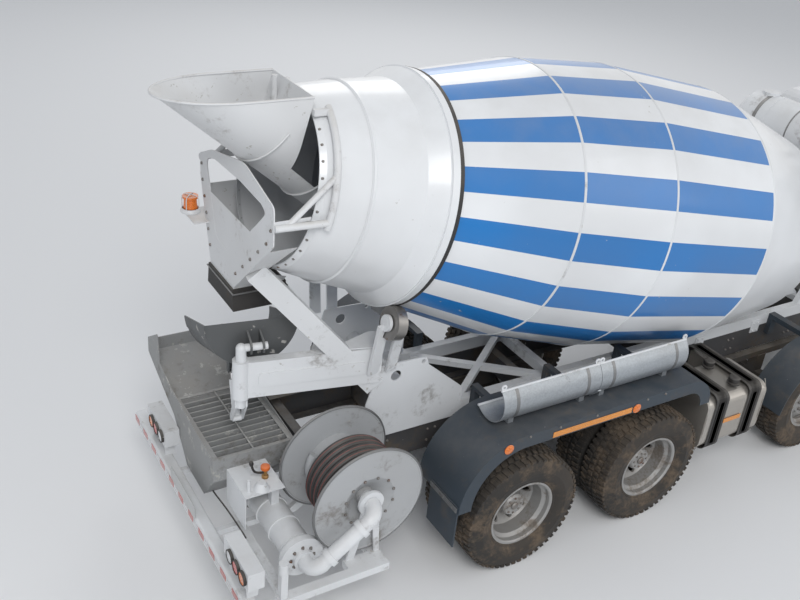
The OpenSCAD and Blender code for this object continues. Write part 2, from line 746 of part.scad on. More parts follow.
// Cheeks and pin of a support roller, in the drum's frame
module roller_bracket() {
    drum_frame() rotate([0, 0, roller_angle]) translate([roller_reach, 0, roller_s])
        cylinder(r = axle_r - hub_clear, h = roller_w + 70, center = true);
    for (end = [-1, 1])
        drum_frame() rotate([0, 0, roller_angle]) translate([roller_reach, 0, roller_s + end * 62])
            cylinder(r = 62, h = 24, center = true);
}

swivel_x = -swivel_back;
post_r = 38;

// Folded legs from the discharge hopper: side, top point
// Side, upper end and depth of each leg
leg_tops = [[RIGHT, [-1900, 250, 2600], 150], [LEFT, [-1800, 540, 2660], 40]];
leg_w = 70;
leg_foot_z = 1560;
arm_z0 = 1570;
arm_z1 = 1870;
arm_rise = 45;
arm_w = 80;
sleeve_r = 62;
arm_tail = [-980, -plate_y - plate_t / 2];
arm_run = norm(arm_tail - [swivel_x, swivel_y]);
arm_angle = atan2(arm_tail.y - swivel_y, arm_tail.x - swivel_x);

// Boxed arm from the right side plate to the chute's swivel post
module chute_arm() translate([swivel_x, swivel_y, 0]) rotate([0, 0, arm_angle]) difference() {
    union() {
        plate_xz(-arm_w / 2, arm_w / 2) polygon([[20, arm_z0], [arm_run, arm_z0 + arm_rise],
            [arm_run, arm_z1 + arm_rise], [20, arm_z1]]);
        // Pressed rib on both sides
        plate_xz(-arm_w / 2 - 8, arm_w / 2 + 8) polygon(rounded([[120, arm_z0 + 90, 30],
            [arm_run - 120, arm_z0 + 130, 30], [arm_run - 120, arm_z1 - 60, 30], [120, arm_z1 - 90, 30]]));
        translate([0, 0, arm_z0 - 8]) cylinder(r = sleeve_r, h = arm_z1 - arm_z0 + 16);
        // Gusset on top of the tail
        translate([0, 0, arm_z1 + arm_rise - 1]) linear_extrude(9)
            polygon([[arm_run - 430, -30], [arm_run, -30], [arm_run, 190], [arm_run - 60, 190]]);
    }
    translate([0, 0, arm_z0 - 20]) cylinder(r = post_r + hub_clear, h = 400);
}

module rear_pedestal() color("whitesmoke") at_origin() {
    both_sides() {
        pedestal_plate();
        roller_bracket();
        // Cheeks, cut clear of the roller between them
        difference() {
            for (end = [-1, 1]) {
                p = drum_point(roller_s + end * 62, roller_reach, roller_angle);
                x = p.x + end * 16;
                beam([x, p.y - 10, p.z - 20], [x - 10, plate_y + 30, 1700], 90, 24);
            }
            drum_frame() rotate([0, 0, roller_angle]) translate([roller_reach, 0, roller_s])
                cylinder(r = roller_r + 8, h = roller_w + 14, center = true);
        }
    }
    difference() {
        for (row = leg_tops) {
            top = row[1];
            beam([top.x, row[0] * top.y, top.z], [-1010, row[0] * (plate_y - 10), leg_foot_z], leg_w,
                row[2]);
        }
        plate_yz(-spout_back - 100, spout_front + 100) spout_section(-seat_gap);
    }
    chute_arm();
    // Cross tube between the plates
    rod_y(-700, 1400, -plate_y - 1, plate_y + 1, 60);
}

module support_roller(side) color("dimgray") at_origin() on_side(side)
    drum_frame() rotate([0, 0, roller_angle]) translate([roller_reach, 0, roller_s]) difference() {
        cylinder(r = roller_r, h = roller_w, center = true);
        cylinder(r = axle_r, h = roller_w + 2, center = true);
    }

drum_pin_r = 80;

// Gearbox, mounting foot and hydraulic motor on the drum's axis
module drum_gearbox() color("dimgray") at_origin() drum_frame() {
    translate([0, 0, 3610]) cylinder(r = drum_pin_r, h = 60);
    translate([0, 0, 3666]) cylinder(r = 200, h = 60);
    translate([0, 0, 3700]) cylinder(r = 290, h = 190);
    translate([0, 0, 3889]) cylinder(r1 = 250, r2 = 190, h = 130);
    translate([0, 0, 4018]) cylinder(r = 95, h = 230);
    translate([0, -260, foot_s0]) cube([foot_depth, 520, 180]);
    translate([foot_depth - 30, -260, foot_s0]) cube([30, 520, foot_s1 - foot_s0]);
}

// Water tank behind the cab with domed ends and straps
tank_axis_x = 4440;
tank_axis_z = 2715;
water_r = 275;
water_half = 1100;
saddle_h = 40;

module water_tank() color("white") at_origin() translate([tank_axis_x, 0, tank_axis_z]) {
    rotate([90, 0, 0]) rotate_extrude() polygon([[0, -water_half], [140, -water_half + 12],
        [230, -water_half + 50], [water_r, -water_half + 110], [water_r, water_half - 110],
        [230, water_half - 50], [140, water_half - 12], [0, water_half]]);
    for (y = [-700, 0, 700]) rod_y(0, 0, y - 25, y + 25, water_r + 5);
    rod_y(0, 0, 380, 430, water_r + 5);
    translate([0, 850, 240]) cylinder(r = 90, h = 60);
    difference() {
        box(-60, 60, -420, 420, -water_r - saddle_h, -water_r + 60);
        rod_y(0, 0, -500, 500, water_r - 2);
    }
    box(-60, 60, -420, 420, -water_r - saddle_h, -water_r - 10);
}

drum_end_s = 3640;
dish_s = 3300;
weld_1_s = 142;
weld_1_r = 1080;
hatch_s = 560;
hatch_angle = 112;
hatch_proud = 10;

// Drum wall from the mouth to the front end
// Rows: station, radius
wall_stations = [[mouth_s, mouth_r], [-1660, mouth_r + 22], [-1336, 702], [-985, 768],
    [track_s - track_w / 2 - 12, track_r - 10], [track_s + track_w / 2, track_r - 22], [weld_1_s, weld_1_r],
    [1007, drum_r], [2225, drum_r - 7], [3400, 900], [3480, 780], [3570, 560], [3620, 300], [3640, 200]];

// Half section of the drum, moved in by d
module drum_section(d) polygon(concat([[0, mouth_s - d]], [[mouth_r - d, mouth_s - d]],
    [for (row = wall_stations) [row[1] - d, row[0] - (row[0] > dish_s ? 3 * d : 0)]],
    [[0, drum_end_s - 3 * d]]));

// Cone between the first two welds, moved out by d
module hatch_cone(d) translate([0, 0, weld_1_s])
    cylinder(r1 = weld_1_r + d, r2 = drum_r + d, h = 1007 - weld_1_s, $fn = 96);

module drum_shell() color("royalblue") at_origin() drum_frame() difference() {
    union() {
        difference() {
            rotate_extrude($fn = 96) drum_section(0);
            rotate_extrude($fn = 96) drum_section(drum_wall);
        }
        // Bead behind the mouth and the roller track
        rotate_extrude($fn = 96) polygon([[695, -1370], [709, -1362], [709, -1346], [699, -1336]]);
        rotate_extrude($fn = 96) polygon([[track_r - 26, track_s - track_w / 2],
            [track_r, track_s - track_w / 2], [track_r, track_s + track_w / 2],
            [track_r - 26, track_s + track_w / 2]]);
        // Hatch
        intersection() {
            difference() {
                hatch_cone(hatch_proud);
                hatch_cone(-2);
            }
            rotate([0, 0, hatch_angle]) translate([900, -210, hatch_s - 280]) cube([400, 420, 560]);
        }
        translate([0, 0, 3590]) cylinder(r = 180, h = 70);
    }
    translate([0, 0, 3500]) cylinder(r = drum_pin_r + hub_clear, h = 300);
}

// Charging hopper

scoop_tip = rear_overhang;
scoop_bottom_z = 3080;
scoop_bottom_x = -1650;
scoop_front_x = -1545;
scoop_notch = [-1672, 3310];
scoop_snout = [-1400, 3070];

// Trough of the charging hopper, half width r, sloping down to the front
module scoop(r) {
    reach = hopper_r / sin(hopper_slope);
    translate([-scoop_tip + reach, 0, hopper_top]) rotate([0, 90 + hopper_slope, 0])
        translate([0, 0, -900]) {
            cylinder(r = r, h = 2600);
            translate([-1500, -r, 0]) cube([1500, 2 * r, 2600]);
        }
}

module charging_hopper() color("whitesmoke") at_origin() {
    intersection() {
        difference() {
            scoop(hopper_r);
            scoop(hopper_r - sheet);
        }
        plate_xz(-400, 400) polygon([[-2600, hopper_top], [scoop_front_x, hopper_top], scoop_notch,
            scoop_snout, [-1400, 2700], [-2600, 2700]]);
    }
    // Front wall behind the drum mouth
    intersection() {
        scoop(hopper_r);
        plate_xz(-400, 400) polygon([[scoop_front_x - 1, hopper_top], scoop_notch - [1, 0],
            scoop_notch - [1 + sheet, 0], [scoop_front_x - 1 - sheet, hopper_top]]);
    }
    // Brackets on the hoop's upper ends
    both_sides() difference() {
        box(scoop_front_x - 15, -1440, hopper_r - 4, hopper_r + 30, 3670, 3712);
        hoop(frame_tube_r + seat_gap, 90);
    }
    // Water pipe over the front wall
    bar([scoop_front_x - 60, 160, hopper_top - 160], [scoop_front_x - 60, 160, hopper_top + 10], 20);
}

// Discharge hopper with its tube frame round the drum mouth

spout_front = -1565;
neck_y0 = 10;
neck_y1 = 450;
neck_z = 2350;
shoulder_z = 3130;
side_low_z = 2960;
hoop_r = 665;
hoop_s = -1610;
frame_tube_r = 24;

// Cross-section of the discharge hopper, drawn inside its sheet by d
module spout_section(d) polygon([[-spout_half_w + d, shoulder_z + d], [-spout_half_w + d, side_low_z],
    [neck_y0 + d, neck_z], [neck_y0 + d, neck_z - 60 - d],
    [neck_y1 - d, neck_z - 60 - d], [neck_y1 - d, neck_z],
    [spout_half_w - d, side_low_z], [spout_half_w - d, shoulder_z + d]]);

module rear_plate_outline() polygon(rounded([[-spout_half_w, 3225, 50], [-spout_half_w, side_low_z, 40],
    [neck_y0, neck_z, 30], [neck_y1, neck_z, 30], [spout_half_w, side_low_z, 40],
    [spout_half_w, 3125, 30], [420, 3225, 300], [-160, 3345, 300]], 6));

module rear_plate_window() polygon(rounded([[-520, 3140, 25], [-375, 3005, 0], [-20, 2680, 60],
    [130, 2580, 90], [330, 2600, 60], [520, 3130, 60], [350, 3180, 200], [-100, 3195, 300],
    [-440, 3175, 60]], 6));

module hoop(r, angle) {
    drum_frame() translate([0, 0, hoop_s]) rotate([0, 0, 82]) rotate_extrude(angle = angle)
        translate([hoop_r, 0]) circle(r = r);
}

module discharge_hopper() color("white") at_origin() {
    difference() {
        union() {
            plate_yz(-spout_back, -spout_back + 8) difference() {
                rear_plate_outline();
                rear_plate_window();
            }
            difference() {
                plate_yz(-spout_back + 1, spout_front) spout_section(0);
                plate_yz(-spout_back + 8, spout_front + 1) spout_section(sheet);
                // Openings in the upper side walls
                plate_xz(-900, 900) polygon(rounded([[-1955, 2895, 30], [-1600, 2895, 30],
                    [-1600, 3105, 10], [-1955, 3105, 10]]));
                box(-1990, spout_front + 1, -spout_half_w + sheet, spout_half_w - sheet, 3000, 3200);
            }
        }
        drum_frame() translate([0, 0, mouth_s - 30]) cylinder(r1 = mouth_r + 45, r2 = 780, h = 500);
    }
    both_sides() {
        // Straight tubes from the rear plate to the hoop
        bar([-spout_back + 3, spout_half_w + 12, 3090], drum_point(hoop_s, hoop_r, 86), frame_tube_r);
        bar([-1860, spout_half_w - 3, 3085], drum_point(hoop_s, hoop_r, 112), frame_tube_r - 4);
        hoop(frame_tube_r, 71);
    }
    // Bracket of the beacon
    box(-spout_back - 110, -spout_back + 60, 470, beacon_y + 50, beacon_z - 8, beacon_z - seat_gap);
}

// Rubber skirt hanging from the discharge hopper's neck
skirt_z = 2175;
skirt_t = 8;

module hopper_skirt() color("black") at_origin() difference() {
    plate_yz(-spout_back - 12, spout_front + 12) polygon([[neck_y0 - skirt_t - seat_gap, neck_z - 8],
        [neck_y0 - 30, skirt_z], [neck_y1 + 30, skirt_z], [neck_y1 + skirt_t + seat_gap, neck_z - 8]]);
    box(-spout_back - seat_gap, spout_front + seat_gap, neck_y0 - seat_gap, neck_y1 + seat_gap, 2000, 2500);
}

// Swivelling chute

chute_rest = -9.5;
trough_r = 340;
trough_mid = 105;
trough_slope = 25;
trough_len = 930;
trough_t = 6;
rim_rise = 155;
trough_near = 100;

module swivel_frame() translate([swivel_x, swivel_y, 0]) rotate([0, 0, chute_rest]) children();

// Jack pivot and rod eye, [out from the hinge, height]
jack_foot = [130, 1285];
jack_eye = [290, 1622];
jack_r = 30;
rod_r = 16;
pin_r = 12;

module swivel_post() color("whitesmoke") at_origin() swivel_frame() {
    translate([0, 0, 1480]) cylinder(r = post_r, h = chute_pivot_z - 1480);
    translate([0, 0, chute_pivot_z]) sphere(r = post_r);
    rod_x(0, chute_pivot_z, 0, 190, 28);
    // Ears of the jack
    for (x = [-46, 34])
        translate([x, 0, 0]) plate_yz(0, 12) polygon(rounded([[-20, 1480, 10], [-20, 1555, 10],
            [20, 1555, 10],
            [jack_foot.x + 28, jack_foot.y + 10, 20], [jack_foot.x + 10, jack_foot.y - 28, 20],
            [jack_foot.x - 28, jack_foot.y, 20]]));
    rod_x(jack_foot.x, jack_foot.y, -46, 46, pin_r - 0.3);
}

// Space from the trough's axis at depth d outside its inner wall, in the swivel frame
module trough_half(r) translate([trough_mid, 0, chute_pivot_z]) rotate([-trough_slope, 0, 0])
    translate([0, -200, trough_near * sin(trough_slope) + rim_rise * cos(trough_slope)]) difference() {
        rotate([-90, 0, 0]) cylinder(r = r, h = trough_len + 200);
        translate([-500, -1, 0]) cube([1000, trough_len + 300, 500]);
    }

module swivel_chute() color("dimgray") at_origin() swivel_frame() {
    intersection() {
        difference() {
            trough_half(trough_r);
            trough_half(trough_r - trough_t);
        }
        box(-600, 700, trough_near, 2000, 1000, 2400);
    }
    intersection() {
        trough_half(trough_r);
        box(-600, 700, trough_near, trough_near + trough_t, 1000, 2400);
    }
    // Reinforcing band under the rim
    intersection() {
        difference() {
            trough_half(trough_r + 5);
            trough_half(trough_r - 1);
            translate([trough_mid, 0, chute_pivot_z]) rotate([-trough_slope, 0, 0])
                translate([-500, -300, -600]) cube([1000, 2000, 690]);
        }
        box(-600, 700, trough_near - 5, 2000, 1000, 2400);
    }
    // Hinge lugs on the tilt tube
    for (x = [60, 150]) difference() {
        translate([x, 0, 0]) plate_yz(0, 14) polygon(rounded([[-44, chute_pivot_z - 44, 40],
            [trough_near + 2, chute_pivot_z - 80, 0], [trough_near + 2, chute_pivot_z + 80, 0],
            [-44, chute_pivot_z + 44, 40]]));
        rod_x(0, chute_pivot_z, x - 1, x + 15, 28 + hub_clear);
    }
    // Ears and pin of the jack's eye
    for (x = [-34, 22]) translate([x, 0, 0]) plate_yz(0, 12)
        polygon(rounded([[jack_eye.x - 26, jack_eye.y - 26, 20], [jack_eye.x + 26, jack_eye.y - 26, 20],
            [jack_eye.x + 40, 1690, 0], [jack_eye.x - 60, 1738, 0]]));
    rod_x(jack_eye.x, jack_eye.y, -30, 30, pin_r);
}

jack_run = norm(jack_eye - jack_foot);
jack_angle = atan2(jack_eye.y - jack_foot.y, jack_eye.x - jack_foot.x);
eye_bore = 26;

module jack_frame() translate([0, jack_foot.x, jack_foot.y]) rotate([jack_angle - 90, 0, 0]) children();

module chute_jack() color("whitesmoke") at_origin() swivel_frame() jack_frame() difference() {
    union() {
        translate([0, 0, 20]) cylinder(r = jack_r, h = 270);
        rod_x(0, 0, -33, 33, 27);
        translate([0, 0, 10]) cylinder(r = 18, h = 30);
    }
    translate([0, 0, 45]) cylinder(r = rod_r + 0.3, h = 300);
    rod_x(0, 0, -40, 40, pin_r);
}

module chute_jack_rod() color("silver") at_origin() swivel_frame() jack_frame() difference() {
    union() {
        translate([0, 0, 110]) cylinder(r = rod_r, h = jack_run - 110 - eye_bore - 4);
        translate([0, 0, jack_run]) rod_x(0, 0, -15, 15, eye_bore + 12);
    }
    translate([0, 0, jack_run]) rod_x(0, 0, -20, 20, eye_bore);
}

// Receiving hopper with its grate

tray_x0 = -2215;
tray_x1 = -1560;
tray_y0 = -260;
tray_y1 = 1230;
grate_y1 = 600;
tray_t = 6;
bowl_z = 640;

// Cross-section of the receiving hopper, drawn inside its sheet by d
module bowl_section(d) polygon([[tray_y0 + d, grate_z + d], [tray_y0 + d, 900], [-60 + d, bowl_z + d],
    [320 - d, bowl_z + d], [grate_y1, 940 + d], [tray_y1 - d, 1180 + d], [tray_y1 - d, 1300 + d],
    [grate_y1 + 40, grate_z + 60 + d]]);

module rear_wall_outline() polygon(rounded([[tray_y0, grate_z, 0], [tray_y0, 900, 0], [-60, bowl_z, 0],
    [320, bowl_z, 0], [grate_y1, 940, 0], [tray_y1, 1180, 0], [tray_y1, 1320, 20], [960, 1500, 20],
    [940, 1220, 0], [grate_y1 + 40, grate_z + 60, 0], [grate_y1, grate_z, 0]]));

bar_count = 11;

module grate_hopper() color("gray") at_origin() {
    difference() {
        plate_yz(tray_x0, tray_x1) bowl_section(0);
        plate_yz(tray_x0 + tray_t, tray_x1 - tray_t) bowl_section(tray_t);
        box(tray_x0 + tray_t, tray_x1 - tray_t, tray_y0 + tray_t, grate_y1, grate_z - 40, grate_z + 40);
    }
    plate_yz(tray_x0, tray_x0 + tray_t) rear_wall_outline();
    // Edge angle round the grate
    for (y = [tray_y0, grate_y1 - 30]) box(tray_x0, tray_x1, y, y + 30, grate_z - 8, grate_z);
    for (x = [tray_x0, tray_x1 - 45]) box(x, x + 45, tray_y0, grate_y1, grate_z - 8, grate_z);
    // Bars of the grate, and the rod across them
    for (i = [1:bar_count]) {
        y = tray_y0 + 30 + i * (grate_y1 - tray_y0 - 60) / (bar_count + 1);
        box(tray_x0 + 30, tray_x1 - 30, y - 6, y + 6, grate_z - 48, grate_z - 4);
    }
    rod_y((tray_x0 + tray_x1) / 2, grate_z - 2, tray_y0 + 10, grate_y1 - 10, 7);
    // Cross plate to the rail ends
    box(tray_x1 - 1, rail_end_x - seat_gap, -420, 420, 900, 960);
}

// Pump with its delivery pipe to the reel's hub

pump_x = -1850;
pump_z = 690;
pump_r = 118;
pump_end = -1010;
pipe_r = 55;
bend_skin = 4;
pipe_y = -1200;
bend_r = 100;
pipe_angle = atan2(reel_z - pump_z, -reel_back - pump_x);
pipe_run = norm([reel_z - pump_z, -reel_back - pump_x]);

// Quarter bend from running out along -Y to running along local X
module quarter_bend(r, bend) translate([bend, 0, 0]) rotate([0, 0, 180])
    rotate_extrude(angle = 90) translate([bend, 0]) circle(r = r);

module delivery_pipe() translate([pump_x, 0, pump_z]) rotate([0, -pipe_angle, 0]) {
    translate([0, pipe_y + bend_r, 0]) quarter_bend(pipe_r + bend_skin, bend_r);
    translate([bend_r - 6, pipe_y, 0]) rotate([0, 90, 0])
        cylinder(r = pipe_r, h = pipe_run - 2 * bend_r + 12);
    translate([pipe_run, pipe_y + bend_r, 0]) mirror([1, 0, 0]) quarter_bend(pipe_r + bend_skin, bend_r);
    for (at = [bend_r + 40, pipe_run - bend_r - 80])
        translate([at, pipe_y, 0]) rotate([0, 90, 0]) cylinder(r = pipe_r + 14, h = 42);
    // Pipe end in the reel's rotary joint
    rod_y(pipe_run, 0, pipe_y + bend_r - 6, -985, pipe_r);
}

module pump_unit() color("lightgray") at_origin() {
    rod_y(pump_x, pump_z, pump_end, tray_y0 - seat_gap, pump_r);
    rod_y(pump_x, pump_z, pump_end - 24, pump_end + 24, pump_r + 44);
    rod_y(pump_x, pump_z, pump_end - 62, pump_end - 20, pipe_r + 22);
    rod_y(pump_x, pump_z, pipe_y + bend_r - 6, pump_end - 60, pipe_r);
    delivery_pipe();
    // Cover plate with the control valve
    box(-2110, -reel_back - reel_r - 12, -620, tray_y0 - seat_gap, 985, 993);
    box(-2110, -2104, -620, tray_y0 - seat_gap, 700, 986);
    box(-1880, -1820, -560, -500, pump_z + 60, 986);
    translate([-1960, -560, 992]) cylinder(r1 = 62, r2 = 30, h = 55);
    translate([-2060, -560, 992]) cylinder(r = 12, h = 110);
}

// Frame under the hose reel

base_y0 = -1240;
base_y1 = -1165;
base_z0 = 500;
base_z1 = 565;
collar_y = -1096;
collar_t = 24;
reel_near = -1060;
reel_far = -505;
reel_x = -reel_back;

module reel_frame() color("lightgray") at_origin() {
    box(-2110, -1240, base_y0, base_y1, base_z0, base_z1);
    box(-1330, -1270, base_y1 - 1, -rail_half + 80, base_z0 + 1, base_z1 - 5);
    box(-1331, -1269, -rail_half, -rail_half + 78, base_z0 + 2, rail_bottom - seat_gap);
    box(-2080, -2020, base_y1 - 1, -bar_reach_y - 20 - seat_gap, base_z0 + 1, base_z1 - 5);
    // Near bearing on two splayed flats
    box(-1540, -1240, base_y1 - 1, collar_y + 26, base_z0 + 2, base_z1 - 2);
    difference() {
        union() {
            // Rows: foot from and to, head from and to
            for (row = [[-1530, -1465, -70, -5], [-1290, -1245, 15, 70]])
                plate_xz(collar_y + 3, collar_y + 19) polygon([[row[0], base_z1 - 30],
                    [row[1], base_z1 - 30], [reel_x + row[3], reel_z - 62], [reel_x + row[2], reel_z - 62]]);
            rod_y(reel_x, reel_z, collar_y, collar_y + collar_t, 100);
        }
        rod_y(reel_x, reel_z, collar_y - 10, collar_y + collar_t + 10, pipe_r + hub_clear);
    }
    // Far bearing on the frame rail
    box(reel_x - 70, reel_x + 70, -rail_half - 40, -rail_half - seat_gap, 880, reel_z + 70);
    rod_y(reel_x, reel_z, -rail_half - 90, -rail_half - 38, 45);
    // Post with a round head
    box(-2100, -2050, base_y0 + 10, base_y1 - 10, base_z1 - 1, 800);
    translate([-2075, (base_y0 + base_y1) / 2, 790]) cylinder(r = 34, h = 90);
}

// Hose reel: two discs with rolled rims on a hollow core

core_r = 200;
disc_t = 8;
hub_recess = 95;

module hose_reel() color("lightgray") at_origin() translate([reel_x, 0, reel_z]) rotate([-90, 0, 0]) {
    rotate_extrude() {
        translate([core_r, reel_near - disc_t / 2]) square([reel_r - core_r - 6, disc_t]);
        translate([reel_r - 9, reel_near]) circle(r = 9, $fn = 24);
        translate([45.3, reel_far - disc_t / 2]) square([reel_r - 45.3 - 6, disc_t]);
        translate([reel_r - 9, reel_far]) circle(r = 9, $fn = 24);
        translate([core_r, reel_near]) square([disc_t, reel_far - reel_near]);
        polygon([[core_r + 2, reel_near - disc_t / 2], [core_r + 2, reel_near + disc_t / 2],
            [pipe_r + 20, reel_near + hub_recess], [pipe_r + 20, reel_near + hub_recess + 25],
            [pipe_r + hub_clear, reel_near + hub_recess + 25], [pipe_r + hub_clear, reel_near + 40],
            [pipe_r + 12, reel_near + 40], [pipe_r + 12, reel_near + hub_recess - 16]]);
        polygon([[45.3, reel_far - 40], [75, reel_far - 40], [75, reel_far], [45.3, reel_far]]);
    }
    // Feed pipe from the core to the hose's first turn
    translate([0, 0, reel_far - 62]) rotate([0, 0, 140]) rotate_extrude(angle = 70)
        translate([core_r + 30, 0]) circle(r = 36, $fn = 32);
}

// Hose wound on the reel: layers of turns, as one ring with a scalloped section
hose_r = 30;
wound_turns = 6;

module reel_hose() color("black") at_origin() translate([reel_x, 0, reel_z]) rotate([-90, 0, 0])
    rotate_extrude() {
        translate([core_r + disc_t + seat_gap, reel_near + 14])
            square([100, wound_turns * 2 * hose_r - 8]);
        for (i = [0:wound_turns - 1])
            translate([core_r + disc_t + seat_gap + 100, reel_near + 10 + hose_r + i * 2 * hose_r * 0.98])
                circle(r = hose_r, $fn = 24);
    }

// Two spare chute lengths on the right mudguard, lying half on their side

spare_r = 185;
spare_y = -955;
spare_z = 1570;
spare_t = 5;
spare_turn = 49;
// Each length: rear and front end
spare_lengths = [[-300, 648], [652, 1600]];

module extension_chutes() color("silver") at_origin() {
    translate([0, spare_y, spare_z]) rotate([-spare_turn, 0, 0]) {
        for (span = spare_lengths) {
            difference() {
                rod_x(0, 0, span[0], span[1], spare_r);
                rod_x(0, 0, span[0] - 1, span[1] + 1, spare_r - spare_t);
                box(span[0] - 2, span[1] + 2, -400, 400, 0, 400);
            }
            for (y = [-1, 1]) rod_x(y * (spare_r - 3), 0, span[0], span[1], 9);
        }
        box(634, 666, -60, 60, -spare_r - 6, -spare_r + 2);
    }
    for (x = [-180, 520, 730, 1430]) difference() {
        box(x, x + 50, spare_y - 110, spare_y + 90, guard_top + seat_gap, spare_z - spare_r + 60);
        rod_x(spare_y, spare_z, x - 1, x + 51, spare_r - 2);
    }
}

// Cab

cab_x1 = front_x - 30;
cab_half = cab_w / 2;
lean = 70;
belt_z = 1900;
roof_front_x = cab_x1 - 330;
nose_t = 30;
return_x = cab_x1 - 330;

// Side, plan and front outlines of the cab, drawn inside its skin by d
module cab_side(d) polygon(rounded([[cab_back_x + d, cab_floor + d, 20],
    [cab_back_x + d, cab_top - d, 150 - d], [roof_front_x - d * 0.7, cab_top - d, 220 - d],
    [cab_x1 - d, belt_z + 60, 90], [cab_x1 - d, cab_floor + d, 20]], 5));

module cab_plan(d) polygon(rounded([[cab_back_x + d, -cab_half + d, 70 - d],
    [cab_x1 - d, -cab_half + d, 200 - d],
    [cab_x1 - d, cab_half - d, 200 - d], [cab_back_x + d, cab_half - d, 70 - d]], 5));

module cab_front(d) polygon(rounded([[-cab_half + d, 800, 0], [-cab_half + d, belt_z, 0],
    [-cab_half + lean + d, cab_top - d, 160 - d], [cab_half - lean - d, cab_top - d, 160 - d],
    [cab_half - d, belt_z, 0], [cab_half - d, 800, 0]], 5));

// Cab body inside its skin by d
module cab_block(d) intersection() {
    plate_xz(-cab_half - 1, cab_half + 1) cab_side(d);
    translate([0, 0, 700]) linear_extrude(2500) cab_plan(d);
    plate_yz(cab_back_x - 1, cab_x1 + 1) cab_front(d);
}

// Front apron under the floor, open behind for the tilt arms
module cab_nose() difference() {
    translate([0, 0, cab_nose_z]) linear_extrude(cab_floor + cab_wall - cab_nose_z) cab_plan(0);
    translate([0, 0, cab_nose_z - 1]) linear_extrude(cab_floor + cab_wall - cab_nose_z + 2) cab_plan(nose_t);
    box(cab_back_x - 1, return_x, -cab_half - 1, cab_half + 1, cab_nose_z - 1, cab_floor + 2 * cab_wall);
}

door_x0 = axle_1_x + 30;
door_x1 = cab_x1 - 440;
door_z0 = cab_floor + 22;
door_z1 = 2790;
hinge_x = door_x1 + 15;
hinge_out = cab_half + 22;
hinge_r = 16;
// Heights of the door hinges
hinge_zs = [1360, 1760];

module door_outline(grow) polygon(rounded([[door_x0 - grow, door_z0 - grow, 50 + grow],
    [door_x1 + grow, door_z0 - grow, 50 + grow], [door_x1 + grow, door_z1 + grow, 90 + grow],
    [door_x0 - grow, door_z1 + grow, 90 + grow]]));

module door_window(grow) polygon(rounded([[door_x0 + 95 - grow, belt_z + 40 - grow, 60],
    [door_x1 - 75 + grow, belt_z + 40 - grow, 60], [door_x1 - 75 + grow, door_z1 - 90 + grow, 80],
    [door_x0 + 95 - grow, door_z1 - 90 + grow, 80]]));

module windscreen(grow) polygon(rounded([[-1080 - grow, belt_z + 90 - grow, 90],
    [1080 + grow, belt_z + 90 - grow, 90], [1020 + grow, cab_top - 170 + grow, 110],
    [-1020 - grow, cab_top - 170 + grow, 110]]));

module rear_window(grow) polygon(rounded([[-620 - grow, 2020 - grow, 70], [620 + grow, 2020 - grow, 70],
    [620 + grow, 2560 + grow, 70], [-620 - grow, 2560 + grow, 70]]));

tunnel_w = 820;
tunnel_z = 1450;
tunnel_x1 = cab_x1 - 500;

module cab_lug() {
    difference() {
        plate_xz(rail_half + tilt_arm_t + 5, rail_half + tilt_arm_t + 33)
            polygon(rounded([[tilt_x - 50, tilt_z - 45, 40], [tilt_x + 45, tilt_z - 45, 40],
                [tilt_x + 55, cab_floor + 2, 0], [tilt_x - 130, cab_floor + 2, 0]]));
        rod_y(tilt_x, tilt_z, rail_half, rail_half + 100, tilt_pin_r + 0.3);
    }
}

module cab_shell() color("white") at_origin() {
    difference() {
        cab_block(0);
        difference() {
            cab_block(cab_wall);
            box(cab_back_x - 1, tunnel_x1, -tunnel_w / 2, tunnel_w / 2, cab_floor, tunnel_z);
        }
        box(cab_back_x - 1, tunnel_x1 - 40, -tunnel_w / 2 + 40, tunnel_w / 2 - 40,
            cab_floor - 1, tunnel_z - 40);
        for (side = [-1, 1]) translate([0, side * cab_half, 0]) plate_xz(-250, 250) door_outline(door_gap);
        plate_yz(cab_x1 - 500, cab_x1 + 10) windscreen(0);
        plate_yz(cab_back_x - 10, cab_back_x + 200) rear_window(0);
    }
    cab_nose();
    both_sides() {
        cab_lug();
        for (z = hinge_zs) {
            translate([hinge_x, hinge_out, z]) cylinder(r = hinge_r, h = 45);
            box(hinge_x, hinge_x + 60, cab_half - 20, hinge_out + 10, z + 1, z + 44);
        }
    }
}

glass_depth = 14;
glass_t = 6;

// Layer of the cab's skin where its glass lies
module glass_layer() difference() {
    cab_block(glass_depth);
    cab_block(glass_depth + glass_t);
}

module cab_glass() color("lightblue", 0.5) at_origin() intersection() {
    glass_layer();
    union() {
        plate_yz(cab_x1 - 450, cab_x1 + 10) windscreen(-seat_gap);
        plate_yz(cab_back_x - 10, cab_back_x + 100) rear_window(-seat_gap);
    }
}

module door(side) color("white") at_origin() on_side(side) {
    difference() {
        intersection() {
            difference() {
                cab_block(0);
                cab_block(cab_wall);
            }
            plate_xz(cab_half - 160, cab_half + 10) door_outline(0);
        }
        plate_xz(cab_half - 400, cab_half + 100) door_window(0);
    }
    for (z = hinge_zs) {
        translate([hinge_x, hinge_out, z - 45 - seat_gap]) cylinder(r = hinge_r, h = 45);
        box(hinge_x - 75, hinge_x, cab_half + 6, hinge_out + 10, z - 44, z - 1);
        box(hinge_x - 75, door_x1 - 2, cab_half - 20, cab_half + 7, z - 43, z - 2);
    }
    // Pull handle
    bar([door_x0 + 90, cab_half + 24, 1760], [door_x0 + 250, cab_half + 24, 1760], 9);
    for (x = [100, 240]) rod_y(door_x0 + x, 1760, cab_half - 5, cab_half + 24, 8);
}

module door_glass(side) color("lightblue", 0.5) at_origin() on_side(side) intersection() {
    glass_layer();
    plate_xz(cab_half - 300, cab_half + 10) door_window(-seat_gap);
}

// Grille, mirrors and sun visor

slat_count = 5;
mirror_out = 1480;

